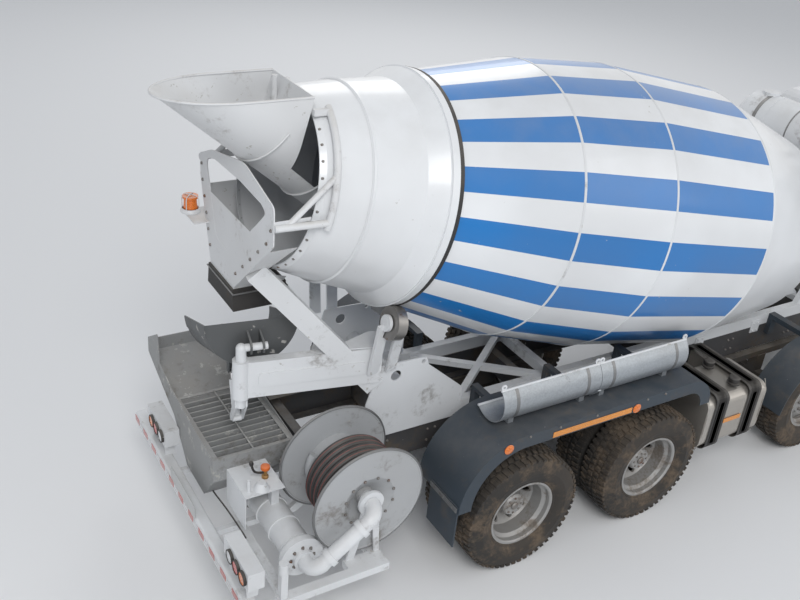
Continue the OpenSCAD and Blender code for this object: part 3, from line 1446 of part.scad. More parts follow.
// Rear-view mirror on two stays from plates on the cab's skin
module door_mirror() {
    for (row = [[2560, 1188], [1870, cab_half + seat_gap]]) {
        box(cab_x1 - 290, cab_x1 - 210, row[1], row[1] + 12, row[0] - 20, row[0] + 20);
        bar([cab_x1 - 250, row[1] + 8, row[0]], [cab_x1 - 160, mirror_out - 110, row[0]], 14);
    }
    bar([cab_x1 - 160, mirror_out - 110, 1850], [cab_x1 - 160, mirror_out - 110, 2580], 16);
    plate_xz(mirror_out - 220, mirror_out) polygon(rounded([[cab_x1 - 190, 2060, 20],
        [cab_x1 - 130, 2060, 30], [cab_x1 - 120, 2500, 30], [cab_x1 - 190, 2500, 20]]));
}

module cab_trim() color("black") at_origin() {
    for (i = [0:slat_count - 1])
        plate_yz(cab_x1 + seat_gap, cab_x1 + 22) polygon(rounded([[-640, 1180 + i * 120, 20],
            [640, 1180 + i * 120, 20], [660, 1260 + i * 120, 20], [-660, 1260 + i * 120, 20]]));
    both_sides() door_mirror();
}

// Dashboard, steering wheel and seat bases

seat_y = 620;
seat_x0 = 5520;
seat_x1 = 6010;
base_z = 1500;

module cab_interior() color("dimgray") at_origin() {
    inner_floor = cab_floor + cab_wall + seat_gap;
    inner_front = cab_x1 - cab_wall - seat_gap;
    intersection() {
        plate_xz(-1140, 1140) polygon(rounded([[inner_front - 330, 1500, 40], [inner_front + 10, 1500, 0],
            [inner_front + 10, 1840, 0], [inner_front - 200, 1900, 60], [inner_front - 400, 1800, 50]]));
        cab_block(cab_wall + seat_gap);
    }
    for (y = [-940, 900]) box(inner_front - 150, inner_front - 40, y, y + 40, inner_floor, 1501);
    bar([inner_front - 508, seat_y, 1818], [inner_front - 250, seat_y, 1560], 28);
    translate([inner_front - 512, seat_y, 1822]) rotate([0, -45, 0]) {
        rotate_extrude() translate([215, 0]) circle(r = 14, $fn = 24);
        cylinder(r = 50, h = 30, center = true);
        for (a = [90, 210, 330]) rotate([0, 0, a]) translate([0, -15, -6]) cube([212, 30, 12]);
    }
    for (side = [-1, 1]) {
        box(seat_x0 + 40, seat_x1 - 40, side * seat_y - 190, side * seat_y + 190, inner_floor, base_z);
    }
}

// Seat cushions and backs of two seats
module seat() {
    translate([seat_x0, 0, base_z]) {
        plate_xz(seat_y - 250, seat_y + 250) polygon(rounded([[0, seat_gap, 40], [520, seat_gap, 40],
            [520, 140, 60], [90, 130, 0], [-60, 760, 40], [-170, 740, 40], [-60, 60, 60]]));
        plate_xz(seat_y - 140, seat_y + 140) polygon(rounded([[-165, 735, 0], [-70, 752, 0],
            [-110, 940, 40], [-200, 925, 40]]));
    }
}

module cab_seats() color("slategray") at_origin() both_sides() seat();

// The nodes

frame_rails();
steer_axles();
drive_axles();
engine();
fuel_tank();
side_boxes();
rear_mudguards();
steer_mudguards();
front_bumper();
lamps();
mixer_subframe();
rear_pedestal();
support_roller(LEFT);  // roller_left
support_roller(RIGHT);  // roller_right
drum_gearbox();
water_tank();
charging_hopper();
discharge_hopper();
hopper_skirt();
grate_hopper();
pump_unit();
reel_frame();
underrun_bar();
extension_chutes();
cab_shell();
cab_glass();
cab_trim();
cab_interior();
cab_seats();
door(LEFT);  // door_left
door(RIGHT);  // door_right
door_glass(LEFT);  // door_glass_left
door_glass(RIGHT);  // door_glass_right
knuckle(1, LEFT);  // knuckle_1_left
knuckle(1, RIGHT);  // knuckle_1_right
knuckle(2, LEFT);  // knuckle_2_left
knuckle(2, RIGHT);  // knuckle_2_right
steer_tyre(1, LEFT);  // tyre_1_left
steer_rim(1, LEFT);  // rim_1_left
steer_tyre(1, RIGHT);  // tyre_1_right
steer_rim(1, RIGHT);  // rim_1_right
steer_tyre(2, LEFT);  // tyre_2_left
steer_rim(2, LEFT);  // rim_2_left
steer_tyre(2, RIGHT);  // tyre_2_right
steer_rim(2, RIGHT);  // rim_2_right
twin_tyres(3, LEFT);  // tyre_3_left
twin_rims(3, LEFT);  // rim_3_left
twin_tyres(3, RIGHT);  // tyre_3_right
twin_rims(3, RIGHT);  // rim_3_right
twin_tyres(4, LEFT);  // tyre_4_left
twin_rims(4, LEFT);  // rim_4_left
twin_tyres(4, RIGHT);  // tyre_4_right
twin_rims(4, RIGHT);  // rim_4_right
drum_shell();
swivel_post();
swivel_chute();
chute_jack();
chute_jack_rod();
hose_reel();
reel_hose();
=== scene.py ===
"""Looks of a concrete mixer truck: its finishes, tyres, fittings, seats, stage and camera."""

import logging
import math
from dataclasses import dataclass
from enum import Enum
from typing import Callable, Sequence

import bpy
from mathutils import Matrix, Vector


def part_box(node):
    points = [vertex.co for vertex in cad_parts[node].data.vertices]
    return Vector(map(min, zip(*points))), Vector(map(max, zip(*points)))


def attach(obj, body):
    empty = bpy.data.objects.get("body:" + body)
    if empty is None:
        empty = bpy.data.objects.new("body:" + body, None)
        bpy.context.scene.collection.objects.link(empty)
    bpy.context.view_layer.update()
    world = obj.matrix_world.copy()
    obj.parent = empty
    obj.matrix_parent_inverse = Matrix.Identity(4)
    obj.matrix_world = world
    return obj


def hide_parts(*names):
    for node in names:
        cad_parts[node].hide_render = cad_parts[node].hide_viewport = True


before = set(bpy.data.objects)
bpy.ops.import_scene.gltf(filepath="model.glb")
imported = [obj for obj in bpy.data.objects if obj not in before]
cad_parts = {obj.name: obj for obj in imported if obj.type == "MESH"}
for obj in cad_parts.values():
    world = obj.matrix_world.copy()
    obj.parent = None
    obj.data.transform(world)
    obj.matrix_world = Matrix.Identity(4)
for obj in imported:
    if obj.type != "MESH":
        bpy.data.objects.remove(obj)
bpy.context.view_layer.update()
log = logging.getLogger("mixer")
Obj = bpy.types.Object
Point = tuple[float, float, float]
Colour = tuple[float, float, float]
Row = tuple[float, float]

# The source's layout starts at the rearmost axle; its middle lies this far back.
SHIFT = -2.26
DRUM_TILT = math.radians(12.48)
DRUM_AXIS_Z = 2.782
# A ring of a lathe can't shrink to nothing, so its point is this small.
TIP = 1e-4
# A face or normal counts as turned a given way from here on.
FACING = 0.9


class Axis(Enum):
    """Direction that a round piece is made along."""

    X = (1.0, 0.0, 0.0)
    Y = (0.0, 1.0, 0.0)
    Z = (0.0, 0.0, 1.0)


class Side(Enum):
    """Side of the truck, looking forward."""

    LEFT = 1
    RIGHT = -1

    @property
    def word(self) -> str:
        """The side as it stands in the names of nodes and bodies."""
        return self.name.lower()


def at(x: float, y: float, z: float) -> Vector:
    """Place in the shared frame of a point measured from the rearmost axle."""
    return Vector((x + SHIFT, y, z))


def drum_point(s: float, r: float, turn: float) -> Vector:
    """Place on the drum.

    Args:
        s: station along the drum's axis, towards the front.
        r: distance from the axis.
        turn: angle from the drum's lowest line towards the left, in degrees.

    Returns:
        The point in the shared frame.
    """
    a = math.radians(turn)
    c, t = math.cos(DRUM_TILT), math.sin(DRUM_TILT)
    return at(s * c - r * math.cos(a) * t, r * math.sin(a),
              DRUM_AXIS_Z - s * t - r * math.cos(a) * c)


def ring(centre: Vector, reach: float, count: int, start: float = 0.0) -> list[Vector]:
    """Places evenly round a line across the truck, from a start given in steps."""
    turns = [2 * math.pi * (i + start) / count for i in range(count)]
    return [centre + Vector((reach * math.cos(a), 0, reach * math.sin(a))) for a in turns]


def facing(direction: Sequence[float]) -> Matrix:
    """Turn that takes +Z to a direction."""
    turn = Vector((0, 0, 1)).rotation_difference(Vector(direction).normalized())
    return turn.to_matrix().to_4x4()


# ---- Modelling tools


def deselect() -> None:
    """Leave object mode and deselect everything."""
    if bpy.context.object and bpy.context.object.mode != "OBJECT":
        bpy.ops.object.mode_set(mode="OBJECT")
    bpy.ops.object.select_all(action="DESELECT")


def pick(obj: Obj) -> None:
    """Make one object the only one selected, and active."""
    deselect()
    obj.select_set(True)
    bpy.context.view_layer.objects.active = obj


def edit(obj: Obj, kind: str = "", action: str = "") -> None:
    """Open a piece in edit mode.

    Args:
        obj: the piece.
        kind: what gets selected from now on: VERT, EDGE or FACE.
        action: SELECT or DESELECT, for the whole mesh.
    """
    pick(obj)
    bpy.ops.object.mode_set(mode="EDIT")
    if kind:
        bpy.ops.mesh.select_mode(type=kind)
    if action:
        bpy.ops.mesh.select_all(action=action)


def close() -> None:
    """Leave edit mode."""
    bpy.ops.object.mode_set(mode="OBJECT")


def select(obj: Obj, kind: str, test: Callable[..., bool]) -> int:
    """Select the points, edges or faces that pass a test, and stay in edit mode.

    Args:
        obj: the piece.
        kind: VERT, EDGE or FACE.
        test: called with each of them.

    Returns:
        How many are selected.
    """
    edit(obj, kind, "DESELECT")
    close()
    count = 0
    mesh = obj.data
    for item in {"VERT": mesh.vertices, "EDGE": mesh.edges, "FACE": mesh.polygons}[kind]:
        item.select = test(item)
        count += item.select
    edit(obj)
    return count


def inset(obj: Obj, test: Callable[..., bool], rim: float, depth: float) -> Obj:
    """Inset the chosen faces by a rim and push them in by a depth, negative for outwards."""
    if select(obj, "FACE", test):
        bpy.ops.mesh.inset(thickness=rim, depth=-depth)
    close()
    return obj


def named(name: str, obj: Obj | None = None) -> Obj:
    """Name an object and its mesh; without one, the object that was just added."""
    obj = obj or bpy.context.object
    obj.name = name
    obj.data.name = name
    return obj


def settle(obj: Obj) -> Obj:
    """Put an object's place, turn and size into its mesh."""
    pick(obj)
    bpy.ops.object.transform_apply(location=True, rotation=True, scale=True)
    return obj


def apply_all(obj: Obj) -> Obj:
    """Apply every modifier of an object."""
    pick(obj)
    for modifier in list(obj.modifiers):
        bpy.ops.object.modifier_apply(modifier=modifier.name)
    return obj


def rounded(obj: Obj, width: float, segments: int = 2) -> Obj:
    """Bevel the sharp edges of an object and apply the bevel."""
    bevel = obj.modifiers.new("Edges", "BEVEL")
    bevel.width = width
    bevel.segments = segments
    bevel.limit_method = "ANGLE"
    bevel.angle_limit = math.radians(35)
    return apply_all(obj)


def walled(obj: Obj, thickness: float, offset: float = -1.0) -> Obj:
    """Give a sheet its wall, inwards at offset -1 and outwards at 1."""
    wall = obj.modifiers.new("Wall", "SOLIDIFY")
    wall.thickness = thickness
    wall.offset = offset
    return apply_all(obj)


def smooth(obj: Obj, angle: float = 35.0) -> Obj:
    """Shade smooth across edges flatter than an angle in degrees."""
    pick(obj)
    bpy.ops.object.shade_smooth_by_angle(angle=math.radians(angle))
    return obj


def cube(low: Sequence[float], high: Sequence[float]) -> Obj:
    """Plain box between two corners, with its place in its mesh."""
    deselect()
    low, high = Vector(low), Vector(high)
    bpy.ops.mesh.primitive_cube_add(size=1, location=(low + high) / 2)
    obj = bpy.context.object
    obj.scale = high - low
    return settle(obj)


def block(low: Sequence[float], high: Sequence[float], edge: float = 0.002) -> Obj:
    """Box between two corners, with its edges bevelled by a width."""
    return rounded(cube(low, high), edge)


def lathe(rows: Sequence[Row], place: Sequence[float], axis: Axis = Axis.Z, sides: int = 32,
          closed: bool = False, toward: Sequence[float] | None = None) -> Obj:
    """Round piece drawn out ring by ring from a circle, as on a lathe.

    Args:
        rows: rings as [radius, along the axis]; a radius of 0 closes that end in a point.
        place: where the axis's zero lies.
        axis: direction of the axis.
        sides: points around each ring.
        closed: join the last ring to the first, as in a tyre.
        toward: a free direction of the axis, in place of axis.

    Returns:
        The new object, with its place in its mesh.
    """
    deselect()
    radius, along = rows[0]
    bpy.ops.mesh.primitive_circle_add(vertices=sides, radius=max(radius, TIP),
                                      location=(0, 0, along))
    obj = settle(bpy.context.object)
    edit(obj, "VERT", "SELECT")
    for next_radius, next_along in rows[1:]:
        step = (0, 0, next_along - along)
        bpy.ops.mesh.extrude_region_move(TRANSFORM_OT_translate={"value": step})
        ratio = max(next_radius, TIP) / max(radius, TIP)
        bpy.ops.transform.resize(value=(ratio, ratio, 1), center_override=(0, 0, next_along))
        radius, along = next_radius, next_along
    bpy.ops.mesh.select_all(action="SELECT")
    bpy.ops.mesh.region_to_loop()
    if closed:
        bpy.ops.mesh.bridge_edge_loops()
    else:
        bpy.ops.mesh.fill_holes(sides=0)
    bpy.ops.mesh.select_all(action="SELECT")
    bpy.ops.mesh.normals_make_consistent(inside=False)
    close()
    obj.data.transform(Matrix.Translation(Vector(place)) @ facing(toward or axis.value))
    return smooth(obj)


def pipe(points: Sequence[Sequence[float]], radius: float, sides: int = 4,
         curved: bool = True) -> Obj:
    """Round bar or hose along points.

    Args:
        points: the run, in the shared frame.
        radius: radius of the bar.
        sides: bevel resolution of the section.
        curved: curve smoothly through the run, or keep its corners.

    Returns:
        The new mesh object.
    """
    deselect()
    bpy.ops.curve.primitive_nurbs_path_add(location=(0, 0, 0))
    curve = bpy.context.object.data
    curve.splines.clear()
    spline = curve.splines.new("NURBS" if curved else "POLY")
    spline.points.add(len(points) - 1)
    for point, place in zip(spline.points, points):
        point.co = (*place, 1)
    if curved:
        spline.order_u = 3
        spline.use_endpoint_u = True
        spline.resolution_u = 6
    curve.dimensions = "3D"
    curve.bevel_depth = radius
    curve.bevel_resolution = sides
    curve.use_fill_caps = True
    pick(bpy.context.object)
    bpy.ops.object.convert(target="MESH")
    return smooth(bpy.context.object, 50)


def joined(parts: Sequence[Obj]) -> Obj:
    """Join pieces into one object."""
    pick(parts[0])
    for part in parts[1:]:
        part.select_set(True)
    if len(parts) > 1:
        bpy.ops.object.join()
    return bpy.context.object


def twin_of(obj: Obj) -> Obj:
    """Copy a piece with its mesh into the scene."""
    twin = obj.copy()
    twin.data = obj.data.copy()
    bpy.context.collection.objects.link(twin)
    return twin


def copies(obj: Obj, places: Sequence[Matrix]) -> Obj:
    """Repeat a piece at each matrix and join the copies; the first piece goes."""
    made = []
    for place in places:
        made.append(twin_of(obj))
        made[-1].data.transform(place)
    bpy.data.objects.remove(obj)
    return joined(made)


def mirrored(parts: Sequence[Obj]) -> Obj:
    """Join pieces and add their mirror image on the other side of the truck."""
    obj = joined(parts)
    twin = twin_of(obj)
    twin.data.transform(Matrix.Scale(-1, 4, (0, 1, 0)))
    twin.data.flip_normals()
    return joined([obj, twin])


def hex_bolts(places: Sequence[Sequence[float]], out: Sequence[float] | Sequence[Vector],
              size: float = 0.012, stud: float = 0.0) -> Obj:
    """Hexagon heads on washers, one at each place.

    Args:
        places: where each washer sits.
        out: direction that all heads face, or one direction for each place.
        size: radius of a head.
        stud: length of stud past the head.

    Returns:
        The joined bolts.
    """
    rows = [(0.0, -size * 0.1), (size * 1.25, -size * 0.1), (size * 1.25, size * 0.22),
            (size, size * 0.24), (size, size * 0.85), (size * 0.82, size)]
    if stud:
        rows += [(size * 0.55, size), (size * 0.55, size + stud)]
    rows.append((0.0, size + stud))
    single = isinstance(out[0], (int, float))
    return copies(lathe(rows, (0, 0, 0), Axis.Z, 6),
                  [Matrix.Translation(Vector(place)) @ facing(out if single else out[index])
                   for index, place in enumerate(places)])


# ---- Node trees


class Graph:
    """Small builder of a node tree."""

    def __init__(self, tree: bpy.types.NodeTree) -> None:
        """Keep the tree that nodes go into."""
        self.tree = tree

    def node(self, kind: str, **settings: object) -> bpy.types.Node:
        """Add a node and set its properties and unlinked inputs.

        Args:
            kind: the node's type without "ShaderNode".
            settings: properties by name, or inputs by the socket's name with _ for a space.

        Returns:
            The node.
        """
        made = self.tree.nodes.new("ShaderNode" + kind)
        for key, value in settings.items():
            if hasattr(made, key):
                setattr(made, key, value)
            else:
                self.fill(made.inputs, **{key: value})
        return made

    def noise(self, scale: object, detail: float, roughness: float = 0.5) -> bpy.types.Node:
        """Noise over the piece's own place."""
        return self.node("TexNoise", Vector=self.place(), Scale=scale, Detail=detail,
                         Roughness=roughness)

    def place(self) -> bpy.types.NodeSocket:
        """Place on the piece, in its own frame."""
        return self.node("TexCoord").outputs["Object"]

    def feed(self, socket: bpy.types.NodeSocket, value: object) -> None:
        """Link a socket to another node's output, or set its number or colour."""
        if isinstance(value, bpy.types.NodeSocket):
            self.tree.links.new(value, socket)
        else:
            if isinstance(value, tuple) and len(value) == 3 and socket.type == "RGBA":
                value = (*value, 1.0)
            socket.default_value = value

    def fill(self, inputs: bpy.types.NodeInputs, **values: object) -> None:
        """Feed sockets by name, with _ for a space."""
        for key, value in values.items():
            self.feed(inputs[key.replace("_", " ")], value)

    def math(self, operation: str, *values: object, clamp: bool = False) -> bpy.types.NodeSocket:
        """Do one sum on numbers or sockets and return its output."""
        made = self.node("Math", operation=operation, use_clamp=clamp)
        for socket, value in zip(made.inputs, values):
            self.feed(socket, value)
        return made.outputs[0]

    def times(self, first: object, second: object, clamp: bool = False) -> bpy.types.NodeSocket:
        """Multiply two numbers or sockets."""
        return self.math("MULTIPLY", first, second, clamp=clamp)

    def mix(self, factor: object, first: object, second: object) -> bpy.types.NodeSocket:
        """Mix two colours by a factor and return the result."""
        made = self.node("Mix", data_type="RGBA")
        for index, value in ((0, factor), (6, first), (7, second)):
            self.feed(made.inputs[index], value)
        return made.outputs[2]

    def ramp(self, value: object, low: float, high: float, out_low: float = 0.0,
             out_high: float = 1.0) -> bpy.types.NodeSocket:
        """Map a range of numbers smoothly to another, clamped."""
        made = self.node("MapRange", interpolation_type="SMOOTHSTEP")
        for index, number in enumerate((value, low, high, out_low, out_high)):
            self.feed(made.inputs[index], number)
        return made.outputs[0]

    def group(self, tree: bpy.types.NodeTree, **values: object) -> bpy.types.NodeOutputs:
        """Place a shared group, set its inputs by name and return its outputs."""
        made = self.tree.nodes.new("ShaderNodeGroup")
        made.node_tree = tree
        self.fill(made.inputs, **values)
        return made.outputs


def blank(name: str) -> tuple[bpy.types.Material, Graph, bpy.types.NodeInputs]:
    """New material, with the builder of its tree and the inputs of its shader."""
    material = bpy.data.materials.new(name)
    material.use_nodes = True
    shader = material.node_tree.nodes["Principled BSDF"]
    return material, Graph(material.node_tree), shader.inputs


class Effects:
    """Shader groups that more than one finish uses."""

    def __init__(self) -> None:
        """Build every group once."""
        self.grime = self._grime()
        self.dust = self._dust()
        self.splash = self._splash()
        self.grain = self._grain()

    @staticmethod
    def _tree(name: str, inputs: dict[str, float], *outputs: str) -> tuple[
            Graph, Sequence[bpy.types.NodeSocket], bpy.types.NodeInputs]:
        """Start a group of number sockets.

        Args:
            name: the group's name.
            inputs: default of each input.
            outputs: the outputs' names.

        Returns:
            The builder, what comes in and what goes out.
        """
        tree = bpy.data.node_groups.new(name, "ShaderNodeTree")
        for label, default in inputs.items():
            tree.interface.new_socket(name=label, in_out="INPUT",
                                      socket_type="NodeSocketFloat").default_value = default
        for label in outputs:
            tree.interface.new_socket(name=label, in_out="OUTPUT", socket_type="NodeSocketFloat")
        given, out = tree.nodes.new("NodeGroupInput"), tree.nodes.new("NodeGroupOutput")
        return Graph(tree), given.outputs, out.inputs

    def _grime(self) -> bpy.types.NodeTree:
        """Blotches of dirt of mixed sizes."""
        g, (scale, amount, *_), out = self._tree("Grime", {"Scale": 3.0, "Amount": 0.5}, "Mask")
        large = g.noise(scale, 8.0, 0.62).outputs[0]
        fine = g.noise(g.times(scale, 7.3), 4.0, 0.7).outputs[0]
        both = g.math("ADD", g.times(large, 0.7), g.times(fine, 0.3))
        edge = g.math("SUBTRACT", 0.72, g.times(amount, 0.4))
        g.feed(out[0], g.ramp(both, edge, g.math("ADD", edge, 0.16)))
        return g.tree

    def _dust(self) -> bpy.types.NodeTree:
        """Dust that lies on what faces up."""
        g, (scale, amount, *_), out = self._tree("Dust", {"Scale": 4.0, "Amount": 0.5}, "Mask")
        up = g.node("SeparateXYZ", Vector=g.node("NewGeometry").outputs["Normal"]).outputs[2]
        cloud = g.ramp(g.noise(scale, 6.0, 0.6).outputs[0], 0.3, 0.75, 0.25, 1.0)
        spread = g.times(g.ramp(up, 0.15, 0.95), cloud)
        g.feed(out[0], g.times(spread, amount, clamp=True))
        return g.tree

    def _splash(self) -> bpy.types.NodeTree:
        """Dried cement: drops and crusts, with their height."""
        g, (scale, amount, *_), out = self._tree("Cement", {"Scale": 12.0, "Amount": 0.3},
                                                 "Mask", "Height")
        bent = g.noise(g.times(scale, 2.7), 4.0).outputs
        warp = g.node("VectorMath", operation="SCALE", Scale=0.09)
        g.feed(warp.inputs[0], bent["Color"])
        moved = g.node("VectorMath", operation="ADD")
        g.feed(moved.inputs[0], g.place())
        g.feed(moved.inputs[1], warp.outputs[0])
        spots = g.node("TexVoronoi", Vector=moved.outputs[0], Scale=scale, Randomness=1.0)
        where = g.noise(g.times(scale, 0.17), 3.0).outputs[0]
        size = g.times(g.ramp(where, 0.46, 0.78), amount)
        size = g.times(size, g.math("MULTIPLY_ADD", bent[0], 1.4, -0.15))
        drop = g.ramp(g.math("SUBTRACT", size, spots.outputs["Distance"]), -0.05, 0.03)
        cloud = g.noise(g.times(scale, 0.6), 9.0, 0.75).outputs[0]
        edge = g.math("SUBTRACT", 0.86, g.times(amount, 0.42))
        mask = g.math("MAXIMUM", drop, g.ramp(cloud, edge, g.math("ADD", edge, 0.05)))
        g.feed(out[0], mask)
        g.feed(out[1], g.times(mask, cloud))
        return g.tree

    def _grain(self) -> bpy.types.NodeTree:
        """Fine unevenness of a painted, cast or rubber face."""
        g, (scale, depth, *_), out = self._tree("Grain", {"Scale": 120.0, "Depth": 0.5}, "Height")
        fine = g.noise(scale, 5.0, 0.6).outputs[0]
        wide = g.noise(g.times(scale, 0.05), 2.0).outputs[0]
        g.feed(out[0], g.times(g.math("ADD", fine, g.times(wide, 0.6)), depth))
        return g.tree


@dataclass(frozen=True)
class Finish:
    """Painted, cast, moulded or rubber surface with its dirt."""

    name: str
    colour: Colour
    roughness: float = 0.45
    dirt_amount: float = 0.35
    dust_amount: float = 0.35
    grain_depth: float = 0.25
    cement_amount: float = 0.0
    metallic: float = 0.0
    dirt: Colour = (0.11, 0.085, 0.06)
    dirt_scale: float = 2.6
    dust: Colour = (0.34, 0.31, 0.27)
    cement_scale: float = 12.0
    grain_scale: float = 140.0
    coat: float = 0.0
    bump: float = 0.25

    def base(self, g: Graph) -> object:
        """Clean colour of the surface, for finishes that vary it."""
        return self.colour

    def toned(self, by: float) -> Colour:
        """The clean colour times a factor."""
        return tuple(by * part for part in self.colour)

    def build(self, effects: Effects) -> bpy.types.Material:
        """Make the material from the shared shader groups."""
        material, g, shader = blank(self.name)
        grime = g.group(effects.grime, Scale=self.dirt_scale, Amount=self.dirt_amount)[0]
        dust = g.group(effects.dust, Scale=self.dirt_scale * 1.7, Amount=self.dust_amount)[0]
        height = g.group(effects.grain, Scale=self.grain_scale, Depth=self.grain_depth)[0]
        tone = g.noise(0.9, 3.0).outputs[0]
        colour = g.mix(g.ramp(tone, 0.3, 0.7, 0.0, 0.16), self.base(g), self.dirt)
        colour = g.mix(g.times(grime, 0.72), colour, self.dirt)
        colour = g.mix(dust, colour, self.dust)
        rough = g.math("ADD", self.roughness, g.times(grime, 0.3), clamp=True)
        rough = g.math("ADD", rough, g.times(dust, 0.35), clamp=True)
        if self.cement_amount:
            cement = g.group(effects.splash, Scale=self.cement_scale, Amount=self.cement_amount)
            grey = g.mix(tone, (0.36, 0.35, 0.33), (0.56, 0.55, 0.52))
            colour = g.mix(cement["Mask"], colour, grey)
            rough = g.math("MAXIMUM", rough, g.times(cement["Mask"], 0.93))
            height = g.math("ADD", height, g.times(cement["Height"], 3.0))
        bump = g.node("Bump", Strength=self.bump, Distance=0.002, Height=height)
        g.fill(shader, Base_Color=colour, Roughness=rough, Metallic=self.metallic,
               Coat_Weight=self.coat, Coat_Roughness=0.12, Normal=bump.outputs[0])
        return material


@dataclass(frozen=True)
class DrumPaint(Finish):
    """Lengthwise blue and white stripes round the drum, white at both ends."""

    blue: Colour = (0.0, 0.17, 0.5)
    period: float = 22.5
    blue_from: float = -98.6
    stations: Row = (-0.752, 2.205)

    def base(self, g: Graph) -> object:
        """Mix the two colours by the angle round the drum's tilted axis."""
        place = g.node("SeparateXYZ", Vector=g.place()).outputs
        c, t = math.cos(DRUM_TILT), math.sin(DRUM_TILT)
        x = g.math("SUBTRACT", place[0], SHIFT)
        z = g.math("SUBTRACT", place[2], DRUM_AXIS_Z)
        down = g.math("SUBTRACT", g.times(x, -t), g.times(z, c))
        along = g.math("SUBTRACT", g.times(x, c), g.times(z, t))
        turn = g.times(g.math("ARCTAN2", place[1], down), 180 / math.pi)
        phase = g.math("FLOORED_MODULO", g.math("SUBTRACT", turn, self.blue_from), self.period)
        half = self.period / 2
        off = g.math("ABSOLUTE", g.math("SUBTRACT", phase, half / 2))
        stripe = g.math("MULTIPLY_ADD", g.math("SUBTRACT", half / 2, off), 14.0, 0.5, clamp=True)
        ends = g.times(g.math("GREATER_THAN", along, self.stations[0]),
                       g.math("LESS_THAN", along, self.stations[1]))
        return g.mix(g.times(stripe, ends), self.colour, self.blue)


@dataclass(frozen=True)
class Spangled(Finish):
    """Galvanised sheet with its crystal pattern."""

    def base(self, g: Graph) -> object:
        """Vary the zinc's grey from crystal to crystal."""
        cells = g.node("TexVoronoi", Vector=g.place(), Scale=85.0)
        amount = g.node("SeparateColor", Color=cells.outputs["Color"]).outputs[0]
        return g.mix(amount, self.toned(0.86), self.colour)


@dataclass(frozen=True)
class Rusty(Finish):
    """Bare steel with rust coming through in patches."""

    rust: Colour = (0.17, 0.055, 0.018)
    rust_amount: float = 0.5

    def base(self, g: Graph) -> object:
        """Mix rust over the steel in patches."""
        low = 0.72 - 0.35 * self.rust_amount
        cloud = g.noise(9.0, 9.0, 0.7).outputs[0]
        return g.mix(g.ramp(cloud, low, low + 0.12), self.colour, self.rust)


@dataclass(frozen=True)
class Brushed(Finish):
    """Polished sheet with fine lines along it."""

    def base(self, g: Graph) -> object:
        """Vary the metal's tone in long lines."""
        stretch = g.node("Mapping", Vector=g.place(), Scale=(2.0, 90.0, 90.0)).outputs[0]
        lines = g.node("TexNoise", Vector=stretch, Scale=3.0, Detail=4.0)
        return g.mix(lines.outputs[0], self.toned(0.78), self.colour)


@dataclass(frozen=True)
class Woven(Finish):
    """Seat cloth with a weave and a lighter fleck."""

    def base(self, g: Graph) -> object:
        """Draw the weave's light and dark threads."""
        threads = [g.node("TexWave", Vector=g.place(), Scale=60.0, bands_direction=way)
                   for way in ("Y", "Z")]
        both = g.times(*(thread.outputs["Fac"] for thread in threads))
        return g.mix(both, self.colour, tuple(min(1.0, part + 0.02) for part in self.toned(2.4)))


@dataclass(frozen=True)
class Honeycomb(Finish):
    """Reflective sheet with small cells."""

    def base(self, g: Graph) -> object:
        """Darken the lines between the cells."""
        cells = g.node("TexVoronoi", Vector=g.place(), Scale=190.0, feature="DISTANCE_TO_EDGE")
        edge = g.ramp(cells.outputs["Distance"], 0.0, 0.12)
        return g.mix(edge, self.toned(0.62), self.colour)


@dataclass(frozen=True)
class Glass:
    """Clear glass with a light film of dust on it."""

    name: str
    tint: Colour = (0.86, 0.93, 0.91)
    roughness: float = 0.02

    def build(self, effects: Effects) -> bpy.types.Material:
        """Make the material from the shared shader groups."""
        material, g, shader = blank(self.name)
        film = g.group(effects.grime, Scale=1.6, Amount=0.25)[0]
        g.fill(shader, Base_Color=g.mix(g.times(film, 0.3), self.tint, (0.5, 0.48, 0.44)),
               Roughness=g.math("MULTIPLY_ADD", film, 0.1, self.roughness), Metallic=0.0,
               Transmission_Weight=1.0, IOR=1.45)
        return material


@dataclass(frozen=True)
class Lens:
    """Moulded lamp lens with fine flutes, lit faintly from inside."""

    name: str
    colour: Colour
    glow: float = 0.12

    def build(self, effects: Effects) -> bpy.types.Material:
        """Make the material from the shared shader groups."""
        material, g, shader = blank(self.name)
        flutes = g.node("TexVoronoi", Vector=g.place(), Scale=110.0).outputs["Distance"]
        dust = g.group(effects.dust, Scale=6.0, Amount=0.4)[0]
        colour = g.mix(flutes, self.colour, tuple(0.5 * part for part in self.colour))
        colour = g.mix(dust, colour, (0.3, 0.27, 0.24))
        bump = g.node("Bump", Strength=0.35, Distance=0.002, Height=flutes)
        g.fill(shader, Base_Color=colour, Emission_Color=colour, Emission_Strength=self.glow,
               Roughness=g.math("MULTIPLY_ADD", dust, 0.4, 0.12), Coat_Weight=0.6,
               Normal=bump.outputs[0])
        return material


